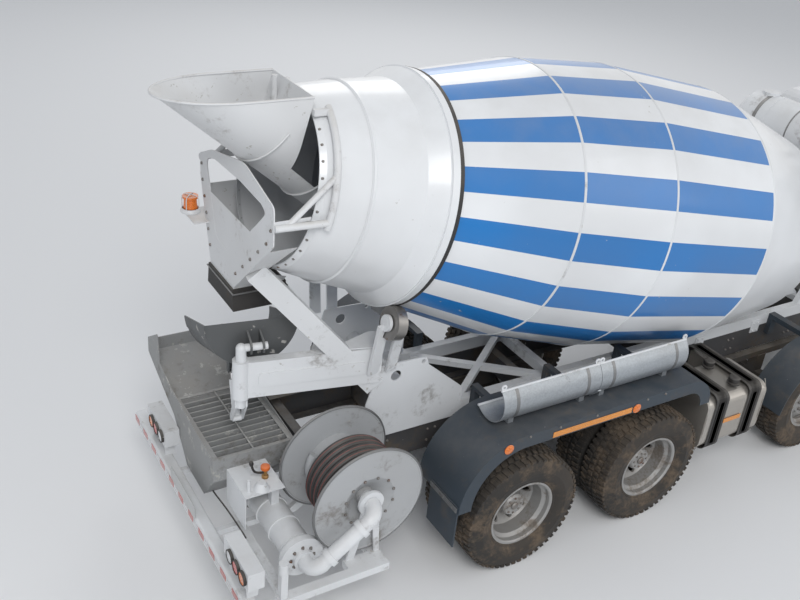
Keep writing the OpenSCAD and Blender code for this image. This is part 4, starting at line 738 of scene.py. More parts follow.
# Name, colour, roughness, dirt, dust, grain's depth, cement and metallic, in that order.
FINISHES: tuple[Finish | Glass | Lens, ...] = (
    DrumPaint("drum paint", (0.78, 0.795, 0.81), 0.3, 0.22, 0.16, 0.06, 0.16, coat=0.35,
              cement_scale=9.0),
    Finish("body white", (0.74, 0.755, 0.77), 0.42, 0.42, 0.3, 0.12, 0.42, coat=0.15,
           cement_scale=11.0),
    Finish("hopper white", (0.7, 0.71, 0.72), 0.55, 0.4, 0.5, 0.15, 0.45,
           dirt=(0.24, 0.21, 0.18), dust=(0.42, 0.38, 0.32), cement_scale=17.0),
    Finish("cab white", (0.78, 0.79, 0.8), 0.28, 0.2, 0.18, 0.04, coat=0.5),
    Finish("bumper white", (0.7, 0.71, 0.72), 0.42, 0.45, 0.3, 0.1, coat=0.1),
    Finish("chassis grey", (0.045, 0.047, 0.052), 0.6, 0.6, 0.45, 0.3, 0.2),
    Finish("cast steel", (0.07, 0.068, 0.066), 0.72, 0.7, 0.5, 0.8, 0.0, 0.25,
           grain_scale=60.0, bump=0.5),
    Finish("tray grey", (0.3, 0.305, 0.305), 0.6, 0.5, 0.45, 0.3, 0.7,
           dirt=(0.13, 0.11, 0.09), cement_scale=9.0),
    Finish("chute grey", (0.1, 0.107, 0.112), 0.6, 0.45, 0.42, 0.4, 0.62, 0.2,
           dust=(0.32, 0.32, 0.31), cement_scale=8.0),
    Spangled("galvanised", (0.4, 0.43, 0.46), 0.42, 0.35, 0.28, 0.12, 0.22, 0.65),
    Finish("mudguard plastic", (0.028, 0.042, 0.058), 0.5, 0.5, 0.34, 0.25, 0.12,
           dirt=(0.1, 0.085, 0.07), dirt_scale=3.4, dust=(0.17, 0.16, 0.15)),
    Finish("black rubber", (0.022, 0.022, 0.023), 0.7, 0.45, 0.3, 0.4, 0.2),
    Finish("black trim", (0.02, 0.02, 0.021), 0.5, 0.25, 0.25, 0.5, grain_scale=260.0),
    Finish("inside trim", (0.075, 0.078, 0.083), 0.62, 0.12, 0.15, 0.6, grain_scale=260.0),
    Finish("tyre rubber", (0.021, 0.02, 0.019), 0.82, 0.66, 0.3, 0.5, grain_scale=90.0,
           dirt=(0.155, 0.115, 0.08), dirt_scale=4.0, dust=(0.21, 0.17, 0.13), bump=0.4),
    Finish("rim silver", (0.36, 0.36, 0.355), 0.45, 0.58, 0.3, 0.2, 0.0, 0.35,
           dirt=(0.16, 0.12, 0.085), dirt_scale=5.0, dust=(0.25, 0.21, 0.17)),
    Brushed("tank metal", (0.5, 0.47, 0.43), 0.34, 0.25, 0.25, 0.05, 0.0, 0.6),
    Finish("strap steel", (0.22, 0.225, 0.23), 0.42, 0.4, 0.3, 0.2, 0.0, 0.7),
    Finish("bright rod", (0.72, 0.72, 0.73), 0.14, 0.16, 0.1, 0.03, 0.0, 1.0),
    Finish("brass fitting", (0.42, 0.24, 0.09), 0.4, 0.4, 0.25, 0.15, 0.0, 0.8),
    Rusty("worn roller", (0.3, 0.29, 0.28), 0.38, 0.4, 0.2, 0.2, 0.0, 0.85, rust_amount=0.35),
    Rusty("bolt steel", (0.26, 0.25, 0.24), 0.5, 0.45, 0.3, 0.3, 0.0, 0.7),
    Finish("engine iron", (0.1, 0.105, 0.11), 0.65, 0.6, 0.4, 0.7, 0.0, 0.3,
           grain_scale=50.0, bump=0.5),
    Woven("seat cloth", (0.05, 0.056, 0.068), 0.92, 0.1, 0.08, 0.8, grain_scale=220.0, bump=0.5),
    Honeycomb("reflector white", (0.7, 0.7, 0.71), 0.25, 0.3, 0.2, coat=0.7),
    Honeycomb("reflector red", (0.56, 0.035, 0.02), 0.25, 0.3, 0.2, coat=0.7),
    Honeycomb("reflector orange", (0.85, 0.3, 0.02), 0.25, 0.2, 0.2, coat=0.7),
    Finish("hose black", (0.018, 0.018, 0.019), 0.5, 0.35, 0.25, 0.3),
    Finish("hose red", (0.16, 0.025, 0.022), 0.5, 0.5, 0.3, 0.3),
    Finish("reel grey", (0.42, 0.43, 0.44), 0.5, 0.5, 0.3, 0.15, 0.35, cement_scale=14.0),
    Finish("orange paint", (0.75, 0.16, 0.02), 0.4, 0.35, 0.3),
    Finish("plate blank", (0.55, 0.56, 0.56), 0.4, 0.3, 0.2, metallic=0.4),
    Glass("clear glass"),
    Finish("mirror face", (0.82, 0.84, 0.86), 0.03, 0.1, 0.05, 0.0, 0.0, 1.0, bump=0.02),
    Lens("lens orange", (0.85, 0.2, 0.015)),
    Lens("lens red", (0.6, 0.02, 0.012)),
    Lens("lens clear", (0.72, 0.74, 0.76)),
)

# Nodes of the CAD by the finish they get; wheels and knuckles come by a loop below.
NODES: dict[str, str] = {
    "chassis grey": "frame_rails",
    "cast steel": "steer_axles drive_axles",
    "engine iron": "engine drum_gearbox",
    "tank metal": "fuel_tank",
    "black trim": "side_boxes cab_trim",
    "mudguard plastic": "rear_mudguards steer_mudguards",
    "bumper white": "front_bumper",
    "lens red": "lamps",
    "body white": "mixer_subframe rear_pedestal water_tank pump_unit reel_frame underrun_bar "
                  "swivel_post chute_jack",
    "worn roller": "roller_left roller_right",
    "hopper white": "charging_hopper discharge_hopper",
    "black rubber": "hopper_skirt",
    "tray grey": "grate_hopper",
    "galvanised": "extension_chutes",
    "cab white": "cab_shell door_left door_right",
    "clear glass": "cab_glass door_glass_left door_glass_right",
    "inside trim": "cab_interior",
    "seat cloth": "cab_seats",
    "drum paint": "drum_shell",
    "chute grey": "swivel_chute",
    "bright rod": "chute_jack_rod",
    "reel grey": "hose_reel",
    "hose black": "reel_hose",
}


class Palette:
    """Every finish by name, built once."""

    def __init__(self) -> None:
        """Build the shared groups and the materials."""
        effects = Effects()
        self.materials = {finish.name: finish.build(effects) for finish in FINISHES}

    def dress(self, obj: Obj, finish: str) -> None:
        """Give a piece its material."""
        obj.data.materials.clear()
        obj.data.materials.append(self.materials[finish])

    def dress_nodes(self) -> None:
        """Give every node of the CAD its finish."""
        for finish, names in NODES.items():
            for name in names.split():
                self.dress(bpy.data.objects[name], finish)
        for axle in (1, 2, 3, 4):
            for side in Side:
                label = f"{axle}_{side.word}"
                self.dress(bpy.data.objects[f"tyre_{label}"], "tyre rubber")
                self.dress(bpy.data.objects[f"rim_{label}"], "rim silver")
                if axle < 3:
                    self.dress(bpy.data.objects[f"knuckle_{label}"], "cast steel")

    def dress_lamps(self) -> None:
        """Give each lamp of the lamps node the lens of its kind, told apart by its place."""
        data = bpy.data.objects["lamps"].data
        for lens in ("lens orange", "lens clear"):
            data.materials.append(self.materials[lens])
        orange, clear, reach = 1, 2, 0.055
        for face in data.polygons:
            c = face.center
            turning, reversing = (any(abs(c.y - y) < reach for y in row)
                                  for row in ((0.76, -1.15), (0.54, -0.93)))
            if c.x > 3.0:
                face.material_index = clear
            elif c.z > 2.0 or turning:
                face.material_index = orange
            elif reversing:
                face.material_index = clear


# ---- Pieces


class Fittings:
    """Base of the classes that dress one part of the truck."""

    body = "chassis"

    def __init__(self, palette: Palette) -> None:
        """Keep the finishes and start with no piece made."""
        self.palette = palette
        self.made: list[Obj] = []

    def add(self, name: str, parts: Obj | Sequence[Obj], finish: str, slot: str,
            body: str = "") -> Obj:
        """Join parts into one piece, dress it and let it ride its body.

        Args:
            name: the piece's name.
            parts: one object or several.
            finish: the finish's name.
            slot: the record's slot; not used.
            body: the CAD body, if it isn't the class's own.

        Returns:
            The piece.
        """
        piece = named(name, parts if isinstance(parts, Obj) else joined(parts))
        self.palette.dress(piece, finish)
        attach(piece, body or self.body)
        self.made.append(piece)
        return piece

    def build(self) -> None:
        """Build every piece in order."""
        raise NotImplementedError


class Wheels(Fittings):
    """Block tread, sidewalls, wheel nuts and hub bolts on every wheel."""

    PITCHES = 56
    HALF = 0.156
    BEAD = 0.285
    TWIN_GAP = 0.008
    TWIN_WIDTH = 0.42
    # Sidewall's rings from the bead outwards, as [past the bead, past the half width].
    WALL = ((0.001, -0.044), (0.02, -0.03), (0.028, -0.024), (0.036, -0.026), (0.06, -0.008),
            (0.085, 0.002), (0.115, 0.006), (0.12, 0.009), (0.128, 0.009), (0.133, 0.006),
            (0.165, 0.001), (0.2, -0.007))
    # Rows of lugs as [offset in half widths, length, width, lean in degrees, start, drop].
    ROWS = ((-0.7, 0.036, 0.078, 6, 0.0, 0.004), (-0.235, 0.04, 0.05, -12, 0.5, 0.0),
            (0.235, 0.04, 0.05, 12, 0.0, 0.0), (0.7, 0.036, 0.078, -6, 0.5, 0.004))

    def build(self) -> None:
        """Dress both ends of all four axles."""
        for axle in (1, 2, 3, 4):
            for side in Side:
                self._wheel(f"{axle}_{side.word}", side.value)

    def _wheel(self, label: str, sign: int) -> None:
        """Dress one wheel, whose outer face looks to +Y times sign."""
        low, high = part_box(f"tyre_{label}")
        centre, radius = (low + high) / 2, (high.z - low.z) / 2
        twin = high.y - low.y > self.TWIN_WIDTH
        edge = self.HALF + self.TWIN_GAP
        middles = [Vector((centre.x, y, centre.z))
                   for y in ((low.y + edge, high.y - edge) if twin else (centre.y,))]
        body = self.add(f"tyre_body_{label}", [self._body(radius, m) for m in middles],
                        "tyre rubber", "tyre_rubber", f"wheel_{label}")
        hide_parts(f"tyre_{label}")
        self.add(f"tread_{label}", [self._tread(radius, m) for m in middles],
                 "tyre rubber", "tyre_rubber", f"wheel_{label}")
        self.add(f"wheel_nuts_{label}", self._nuts(sign, centre, twin),
                 "bolt steel", "rim_paint", f"wheel_{label}")

    def _body(self, radius: float, middle: Vector) -> Obj:
        """Carcass of one tyre below the tread's grooves, with rings moulded on the sidewalls."""
        half, deep = self.HALF, radius - 0.014
        side = [(self.BEAD + r, half + y) for r, y in self.WALL]
        side += [(radius - 0.034, half - 0.013), (radius - 0.02, half - 0.022),
                 (deep, half - 0.04), (deep, half * 0.36), (deep - 0.004, half * 0.33),
                 (deep - 0.004, half * 0.27), (deep, half * 0.24)]
        return lathe(side + [(r, -y) for r, y in reversed(side)], middle, Axis.Y, 72, True)

    def _tread(self, radius: float, middle: Vector) -> Obj:
        """Shoulder lugs and two rows of middle blocks round one tyre."""
        parts = []
        for offset, length, wide, lean, start, drop in self.ROWS:
            lug = cube((-length / 2, -wide / 2, -0.02), (length / 2, wide / 2, 0.0))
            select(lug, "FACE", lambda f: f.normal.z > FACING)
            bpy.ops.transform.resize(value=(0.86, 0.93, 1))
            bpy.ops.mesh.inset(thickness=0.0025, depth=0.001)
            close()
            lug.data.transform(Matrix.Rotation(math.radians(lean), 4, "Z"))
            if drop:
                lug.data.transform(Matrix.Rotation(math.copysign(0.09, -offset), 4, "X"))
            turns = [Matrix.Rotation(2 * math.pi * (step + start) / self.PITCHES, 4, "Y")
                     for step in range(self.PITCHES)]
            place = middle + Vector((0, offset * self.HALF, 0))
            parts.append(copies(lug, [
                Matrix.Translation(place + turn @ Vector((0, 0, radius - drop))) @ turn
                for turn in turns]))
        return joined(parts)

    @staticmethod
    def _nuts(sign: int, centre: Vector, twin: bool) -> list[Obj]:
        """Ten wheel nuts with their studs, and the bolts and cap of the hub's end."""
        face, circle, end, hub = ((0.012, 0.164, 0.19, 0.07) if twin
                                  else (0.082, 0.15, 0.175, 0.055))
        out = (0, sign, 0)
        face_at, end_at = (centre + Vector((0, sign * reach, 0)) for reach in (face, end))
        cap = [(0.0, -0.002), (0.034, -0.002), (0.034, 0.01), (0.026, 0.018), (0.0, 0.02)]
        return [hex_bolts(ring(face_at, circle, 10), out, 0.0165, 0.018),
                hex_bolts(ring(end_at, hub, 8), out, 0.009),
                lathe(cap, end_at, toward=out, sides=20)]


class DrumDressing(Fittings):
    """Weld seams, black ring edge (the ring's dark front face and painted shade beside it), mouth
    bolts and flange bolts of the drum.
    """

    body = "drum"
    # Welds as [station, radius], and their section as [past the radius, along].
    WELDS = ((0.142, 1.08), (1.007, 1.175), (2.225, 1.168))
    SEAM = ((-0.004, -0.012), (0.002, -0.009), (0.0042, 0.0), (0.002, 0.009), (-0.004, 0.012))
    RING_S, RING_R = -0.766, 0.868
    MOUTH_S, MOUTH_R = -1.682, 0.606

    def build(self) -> None:
        """Build what turns with the drum."""
        axis = drum_point(1, 0, 0) - drum_point(0, 0, 0)

        def band(section: Sequence[Row], s: float, r: float) -> Obj:
            """Band round the drum at a station."""
            rows = [(r + out, along) for out, along in section]
            return lathe(rows, drum_point(s, 0, 0), toward=axis, sides=128, closed=True)

        self.add("drum_weld_seams", [band(self.SEAM, s, r) for s, r in self.WELDS],
                 "body white", "drum_paint")
        # Black band round the ring's front corner, widened: partly the ring's dark front face,
        # partly painted shade.
        edge = ((-0.03, 0.0015), (0.0015, 0.0015), (0.0015, -0.03), (-0.001, -0.031))
        self.add("drum_ring_edge_and_painted_shade", band(edge, self.RING_S, self.RING_R),
                 "black rubber", "drum_paint")
        mouth = [drum_point(self.MOUTH_S, self.MOUTH_R, 10 * i) for i in range(36)]
        outs = [place - drum_point(self.MOUTH_S, 0, 0) for place in mouth]
        self.add("drum_mouth_bolts", hex_bolts(mouth, outs, 0.009), "bolt steel", "drum_paint")
        front = [drum_point(3.46, 0.76, 15 * i) for i in range(24)]
        self.add("drum_front_bolts", hex_bolts(front, axis, 0.014), "bolt steel", "drum_paint")


class RearEnd(Fittings):
    """Fittings of the hoppers, beacon and chute."""

    # The charging hopper's floor falls at this slope from its rearmost edge.
    SLOPE = math.radians(39.7)
    REACH = 0.32 / math.sin(SLOPE)
    SCOOP_X = -2.48 + REACH
    BEACON = (-2.01, 0.69, 2.66)

    def build(self) -> None:
        """Build each fitting in turn."""
        paint = "light_grey_paint"
        self.add("charging_hopper_rim", self._scoop_rim(), "hopper white", paint)
        self.add("discharge_plate_bolts", self._plate_bolts(), "bolt steel", paint)
        self.add("beacon_guard", self._beacon(), "body white", paint)
        self.add("charging_hopper_ribs", self._scoop_ribs(), "hopper white", paint)
        self.add("skirt_clamp", self._skirt_clamp(), "strap steel", paint)
        self.add("chute_lift_eye", self._lift_eye(), "strap steel", paint, "chute")

    def _scoop_rim(self) -> Obj:
        """Rolled bar round the charging hopper's upper edge."""
        radius, z, steps = 0.317, 3.782, 24
        turns = [math.pi * step / steps for step in range(steps + 1)]
        run = [at(self.SCOOP_X - self.REACH * math.sin(a), radius * math.cos(a), z)
               for a in turns]
        return pipe([at(-1.55, radius, z)] + run + [at(-1.55, -radius, z)], 0.009, 3)

    def _scoop_ribs(self) -> list[Obj]:
        """Two bent strips round the outside of the charging hopper."""
        radius, steps = 0.327, 14
        c, s = math.cos(self.SLOPE), math.sin(self.SLOPE)
        axis, up = Vector((c, 0, -s)), Vector((s, 0, c))
        turns = [math.pi * (step / steps) for step in range(steps + 1)]
        ribs = []
        for along in (0.34, 0.78):
            middle = at(self.SCOOP_X, 0, 3.785) + axis * along
            ribs.append(pipe([middle + Vector((0, radius * math.cos(a), 0))
                              - up * radius * math.sin(a) for a in turns], 0.008, 2))
        return ribs

    @staticmethod
    def _plate_bolts() -> Obj:
        """Bolts along the rear plate's edges."""
        x, half, steps = -1.951, 0.6, 5
        rows = [at(x, y, 3.06) for y in (-half, half)]
        for side, foot in ((-1, 0.03), (1, 0.43)):
            for step in range(steps):
                t = (step + 0.5) / steps
                rows.append(at(x, side * half * (1 - t) + foot * t,
                               2.97 * (1 - t) + 2.40 * t + 0.03))
        return hex_bolts(rows, (-1, 0, 0), 0.01)

    def _beacon(self) -> list[Obj]:
        """Base ring and guard bars of the rear beacon."""
        place = at(*self.BEACON)
        base = [(0.0, -0.002), (0.072, -0.002), (0.075, 0.004), (0.07, 0.022), (0.0615, 0.03),
                (0.0, 0.03)]
        parts = [lathe(base, place, sides=28)]
        for step in range(4):
            turn = math.pi / 4 + step * math.pi / 2
            run = [place + Vector((r * math.cos(turn), r * math.sin(turn), z))
                   for r, z in ((0.066, 0.02), (0.07, 0.09), (0.06, 0.128), (0.0, 0.136))]
            parts.append(pipe(run, 0.0035, 2))
        return parts

    @staticmethod
    def _skirt_clamp() -> Obj:
        """Clamp strip that holds the rubber skirt to the hopper's neck."""
        low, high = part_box("hopper_skirt")
        x0, y0, x1, y1 = low.x - 0.002, low.y - 0.002, high.x + 0.002, high.y + 0.002
        run = [(x0, y0), (x1, y0), (x1, y1), (x0, y1), (x0, y0)]
        return pipe([Vector((x, y, high.z - 0.03)) for x, y in run], 0.006, 2, False)

    @staticmethod
    def _lift_eye() -> Obj:
        """Lifting eye at the middle of the chute's highest edge."""
        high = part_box("swivel_chute")[1]
        mesh = bpy.data.objects["swivel_chute"].data
        top = sorted((v.co.copy() for v in mesh.vertices if v.co.z > high.z - 0.004),
                     key=lambda c: c.x)
        run = ((-0.05, -0.01), (-0.05, 0.05), (0.05, 0.05), (0.05, -0.01))
        return pipe([top[len(top) // 2] + Vector((x, 0, z)) for x, z in run], 0.006, 3)


class Pump(Fittings):
    """Bolts, ribs and hand valve of the concrete pump."""

    X, Z = -1.85, 0.69
    VALVE = (-1.89, -0.46, 0.99)

    def build(self) -> None:
        """Build what is bolted to the pump."""
        paint = "light_grey_paint"
        flange = ring(at(self.X, -0.262, self.Z), 0.145, 10, 0.5)
        end = ring(at(self.X, -1.034, self.Z), 0.09, 8)
        self.add("pump_bolts", hex_bolts(end, (0, -1, 0), 0.011, 0.006), "bolt steel", paint)
        rib = [(0.117, -0.008), (0.127, -0.006), (0.127, 0.006), (0.117, 0.008)]
        self.add("pump_ribs", [lathe(rib, at(self.X, y, self.Z), Axis.Y, 48, True)
                               for y in (-0.93, -0.72, -0.5, -0.34)], "body white", paint)
        place = at(*self.VALVE)
        stem = [(0.0, -0.01), (0.026, -0.01), (0.026, 0.02), (0.016, 0.026), (0.016, 0.07),
                (0.022, 0.074), (0.022, 0.084), (0.0, 0.084)]
        self.add("valve_stem", lathe(stem, place, sides=18), "brass fitting", paint)
        cap = [(0.0, 0.083), (0.034, 0.083), (0.036, 0.09), (0.034, 0.108), (0.02, 0.118),
               (0.0, 0.12)]
        self.add("valve_cap", lathe(cap, place, sides=20), "orange paint", paint)
        run = ((0, 0.05), (-0.06, 0.06), (-0.1, 0.1), (-0.11, 0.16))
        lever = pipe([place + Vector((x, 0, z)) for x, z in run], 0.009, 3)
        knob = [(0.0, -0.02), (0.012, -0.018), (0.017, -0.006), (0.017, 0.006), (0.012, 0.018),
                (0.0, 0.02)]
        self.add("valve_lever", [lever, lathe(knob, place + Vector((-0.11, 0.0, 0.165)),
                                              sides=14)], "black trim", "black_trim")
        self.add("pump_flange_bolts", hex_bolts(flange, (0, -1, 0), 0.01), "bolt steel", paint)


class Reel(Fittings):
    """Stripe of the wound hose, rolled edges and hub bolts of the hose reel."""

    body = "hose_reel"
    X, Z = -1.35, 1.045
    NEAR, FAR = -1.06, -0.505
    RADIUS, BEAD = 0.44, 0.011
    TURNS = 6
    STRIPE = ((-0.0035, -0.013), (-0.0005, -0.011), (0.0012, -0.008), (-0.001, -0.0055))

    def build(self) -> None:
        """Build what turns with the reel."""
        low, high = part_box("reel_hose")
        outer, pitch = (high.z - low.z) / 2, (high.y - low.y) / self.TURNS
        x, z = (low.x + high.x) / 2, (low.z + high.z) / 2
        rows = [(outer + r, y) for r, y in self.STRIPE]
        self.add("hose_stripe", [lathe(rows, (x, low.y + pitch * (i + 0.5), z), Axis.Y, 72, True)
                                 for i in range(self.TURNS)], "hose red", "black_rubber")
        turns = [2 * math.pi * i / 8 for i in range(8)]
        bead = [(self.RADIUS + self.BEAD * math.cos(a), self.BEAD * math.sin(a)) for a in turns]
        self.add("reel_flange_beads", [lathe(bead, at(self.X, y, self.Z), Axis.Y, 72, True)
                                       for y in (self.NEAR, self.FAR)],
                 "strap steel", "light_grey_paint")
        hub = ring(at(self.X, self.NEAR - 0.008, self.Z), 0.2, 12, 0.5)
        self.add("reel_hub_bolts", hex_bolts(hub, (0, -1, 0), 0.01),
                 "bolt steel", "light_grey_paint")


class Underrun(Fittings):
    """Reflectors, lamp rims, cable and blank plate at the rear bar."""

    def build(self) -> None:
        """Build what is fixed to the rear bar."""
        strips: tuple[list[Obj], list[Obj]] = ([], [])
        for index in range(22):
            y = -1.155 + index * 0.11
            strips[index % 2].append(block(at(-2.3625, y - 0.052, 0.535),
                                           at(-2.3585, y + 0.052, 0.585), 0.0006))
        for colour, parts in zip(("white", "red"), strips):
            self.add(f"rear_bar_reflectors_{colour}", parts, f"reflector {colour}", "lamp_lens")
        rim = [(0.0535, 0.0), (0.0535, 0.02), (0.049, 0.0225), (0.0455, 0.02), (0.0455, 0.0)]
        rims = []
        for y in self._lamp_places():
            rims.append(lathe(rim, at(-2.3403, y, 0.815), toward=(-1, 0, 0), sides=36,
                              closed=True))
        self.add("tail_lamp_rims", rims, "black rubber", "black_rubber")
        run = ((-2.19, 0.48, 0.84), (-2.12, 0.4, 0.8), (-2.1, 0.2, 0.7), (-2.16, 0.0, 0.66),
               (-2.12, -0.3, 0.64), (-2.12, -0.6, 0.66), (-2.16, -0.78, 0.76), (-2.2, -0.8, 0.84))
        self.add("lamp_cable", pipe([at(*place) for place in run], 0.006, 3),
                 "black rubber", "black_rubber")
        plate = block(at(-2.366, -0.26, 0.6), at(-2.358, 0.26, 0.72))
        self.add("rear_plate_blank", inset(plate, lambda f: f.normal.x < -FACING, 0.008, 0.0015),
                 "plate blank", "light_grey_paint")

    @staticmethod
    def _lamp_places() -> list[float]:
        """Distance across the truck of each lamp in the two boxes."""
        places = []
        for first, last in ((0.47, 0.9), (-1.22, -0.79)):
            y = first + 0.07
            while y <= last - 0.059:
                places.append(y)
                y += 0.11
        return places


class Troughs(Fittings):
    """Straps, white edges and lifting lugs of the two spare troughs."""

    Y, Z = -0.955, 1.57
    RADIUS = 0.1865
    REACH = 0.182
    TURN = 131.0
    RUNS = ((-0.3, 0.648), (0.652, 1.6))
    BAND = 0.03

    def build(self) -> None:
        """Build the bands round both troughs, their lugs and the rolled edges."""
        bands, lugs, edges = [], [], []
        for first, last in self.RUNS:
            bands += [self._band(x) for x in (first + 0.13, last - 0.13)]
            lugs += [self._lug(x) for x in (first + 0.02, last - 0.02)]
            edges += [pipe([self._spot(first - 0.001, self.REACH, rim),
                            self._spot(last + 0.001, self.REACH, rim)], 0.0096, 4, False)
                      for rim in (0, 180)]
        self.add("trough_straps", bands, "strap steel", "galvanised")
        self.add("trough_lugs", lugs, "body white", "galvanised")
        self.add("trough_edges", edges, "body white", "galvanised")

    def _spot(self, x: float, reach: float, angle: float) -> Vector:
        """Point round the trough's middle line, 0 being its upper rim and 180 its lower one."""
        a = math.radians(self.TURN + angle)
        return at(x, self.Y + reach * math.cos(a), self.Z + reach * math.sin(a))

    def _band(self, x: float) -> Obj:
        """Flat strap round the outside of the sheet, from rim to rim."""
        deselect()
        bpy.ops.mesh.primitive_circle_add(vertices=44, radius=self.RADIUS, location=(0, 0, 0))
        obj = bpy.context.object
        centre = at(x - self.BAND / 2, self.Y, self.Z)
        obj.data.transform(Matrix.Translation(centre) @ facing(Axis.X.value))
        open_side = centre - self._spot(x - self.BAND / 2, 1.0, 90)
        select(obj, "VERT", lambda v: (v.co - centre).dot(open_side) > 0.012)
        bpy.ops.mesh.delete(type="VERT")
        bpy.ops.mesh.select_all(action="SELECT")
        bpy.ops.mesh.extrude_region_move(TRANSFORM_OT_translate={"value": (self.BAND, 0, 0)})
        close()
        return walled(obj, 0.0035, 1)

    def _lug(self, x: float) -> Obj:
        """Round lifting lug with a hole, standing on the upper edge."""
        rows = [(0.011, -0.005), (0.024, -0.005), (0.026, 0.0), (0.024, 0.005), (0.011, 0.005)]
        return lathe(rows, self._spot(x, self.REACH, 0) + Vector((0, 0, 0.028)), Axis.Y, 20, True)


class Tank(Fittings):
    """Straps, fillers, reflector, seams and drain of the fuel tank."""

    def build(self) -> None:
        """Build the tank's fittings from its own box."""
        low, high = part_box("fuel_tank")
        slot = "polished_aluminium"
        straps = [self._strap(x, low, high) for middle in (low.x + 0.17, high.x - 0.17)
                  for x in (middle - 0.017, middle + 0.017)]
        self.add("tank_straps", straps, "black trim", slot)
        cap = [(0.0, 0.0), (0.058, 0.0), (0.058, 0.012), (0.046, 0.016), (0.046, 0.03),
               (0.052, 0.033), (0.052, 0.058), (0.044, 0.066), (0.0, 0.07)]
        self.add("tank_fillers", [lathe(cap, at(2.38, y, high.z - 0.004), sides=24)
                                  for y in (-0.8, -1.1)], "black trim", slot)
        mark = block((low.x + 0.25, low.y - 0.005, low.z + 0.27),
                     (low.x + 0.47, low.y - 0.0008, low.z + 0.315), 0.0012)
        self.add("tank_reflector", mark, "reflector orange", "lamp_lens")
        run = ((low.y + 0.05, low.z), (low.y - 0.001, low.z + 0.06),
               (low.y - 0.001, high.z - 0.06), (low.y + 0.05, high.z))
        self.add("tank_seams", [pipe([Vector((x, y, z)) for y, z in run], 0.003, 2)
                                for x in (low.x + 0.012, high.x - 0.012)], "tank metal", slot)
        middle = (low + high) / 2
        self.add("tank_drain", hex_bolts([(middle.x, middle.y, low.z)], (0, 0, -1), 0.018),
                 "bolt steel", slot)

    @staticmethod
    def _strap(x: float, low: Vector, high: Vector) -> Obj:
        """Flat band round the tank with rounded corners."""
        half, gap = 0.01, 0.0015
        obj = cube((x - half, low.y - gap, low.z - gap), (x + half, high.y + gap, high.z + gap))
        edit(obj, "EDGE", "SELECT")
        bpy.ops.mesh.bevel(offset=0.075, segments=6, affect="EDGES")
        select(obj, "FACE", lambda f: abs(f.normal.x) > FACING)
        bpy.ops.mesh.delete(type="FACE")
        close()
        return walled(obj, 0.003, 1)


class Mudguards(Fittings):
    """Reflector strip, round markers, bolts and flap clamps of the rear mudguards."""

    def build(self) -> None:
        """Build both sides alike."""
        low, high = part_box("rear_mudguards")
        y, top = low.y, high.z
        strip = block(at(0.13, y - 0.004, top - 0.102), at(0.94, y - 0.0005, top - 0.052), 0.0008)
        self.add("mudguard_strip", mirrored([strip]), "reflector orange", "lamp_lens")
        marker = [(0.0, -0.001), (0.04, -0.001), (0.042, 0.006), (0.034, 0.012), (0.0, 0.015)]
        marks = [lathe(marker, at(x, y, top - 0.078), toward=(0, -1, 0), sides=26)
                 for x in (-0.29, 0.995)]
        self.add("mudguard_markers", mirrored(marks), "lens orange", "lamp_lens")
        heads = [at(x, y, top - 0.02) for x in (-0.1, 0.19, 0.56, 1.1, 1.3)]
        self.add("mudguard_bolts", mirrored([hex_bolts(heads, (0, -1, 0), 0.009)]),
                 "bolt steel", "dark_plastic")
        clamp = [block(at(-0.692, -1.235, 0.815), at(-0.682, -0.875, 0.855)),
                 hex_bolts([at(-0.692, y, 0.835) for y in (-1.18, -1.055, -0.93)],
                           (-1, 0, 0), 0.008)]
        self.add("flap_clamp", mirrored(clamp), "strap steel", "black_rubber")


class Chassis(Fittings):
    """Frame bolts, ties of the subframe, and air and hydraulic lines."""

    RAIL_Y = 0.425
    BOLTS_X = (-1.36, -0.9, -0.45, 0.5, 0.78, 1.75, 2.18, 3.1, 3.98, 4.9)

    def build(self) -> None:
        """Build what is fixed along the frame."""
        heads = [at(x + dx, -self.RAIL_Y, z) for x in self.BOLTS_X for dx in (0.0, 0.07)
                 for z in (0.86, 0.97)]
        self.add("frame_bolts", mirrored([hex_bolts(heads, (0, -1, 0), 0.011, 0.004)]),
                 "bolt steel", "chassis_paint")
        ties = []
        for x in (2.6, 3.4, 4.25, 5.0):
            ties.append(block(at(x, -0.434, 0.985), at(x + 0.12, -0.4255, 1.12)))
            ties.append(hex_bolts([at(x + dx, -0.434, z) for dx in (0.03, 0.09)
                                   for z in (1.01, 1.09)], (0, -1, 0), 0.01, 0.004))
        self.add("subframe_ties", mirrored(ties), "body white", "light_grey_paint")
        waves = ((-1.3, 0.0), (0.0, 0.012), (1.2, -0.01), (2.4, 0.01), (3.6, -0.008), (4.8, 0.0))
        self.add("air_lines", [pipe([at(x, y, z + dz) for x, dz in waves], 0.008, 2)
                               for y, z in ((-0.335, 0.99), (-0.32, 0.965), (-0.337, 0.94))],
                 "black rubber", "black_rubber")
        run = ((4.02, 0.16, 1.82), (4.25, 0.2, 1.86), (4.42, 0.22, 1.6), (4.55, 0.22, 1.3),
               (4.6, 0.2, 1.06))
        self.add("drive_hoses", [pipe([at(x, y + dy, z) for x, y, z in run], 0.017, 3)
                                 for dy in (-0.05, 0.0, 0.05)], "black rubber", "black_rubber")


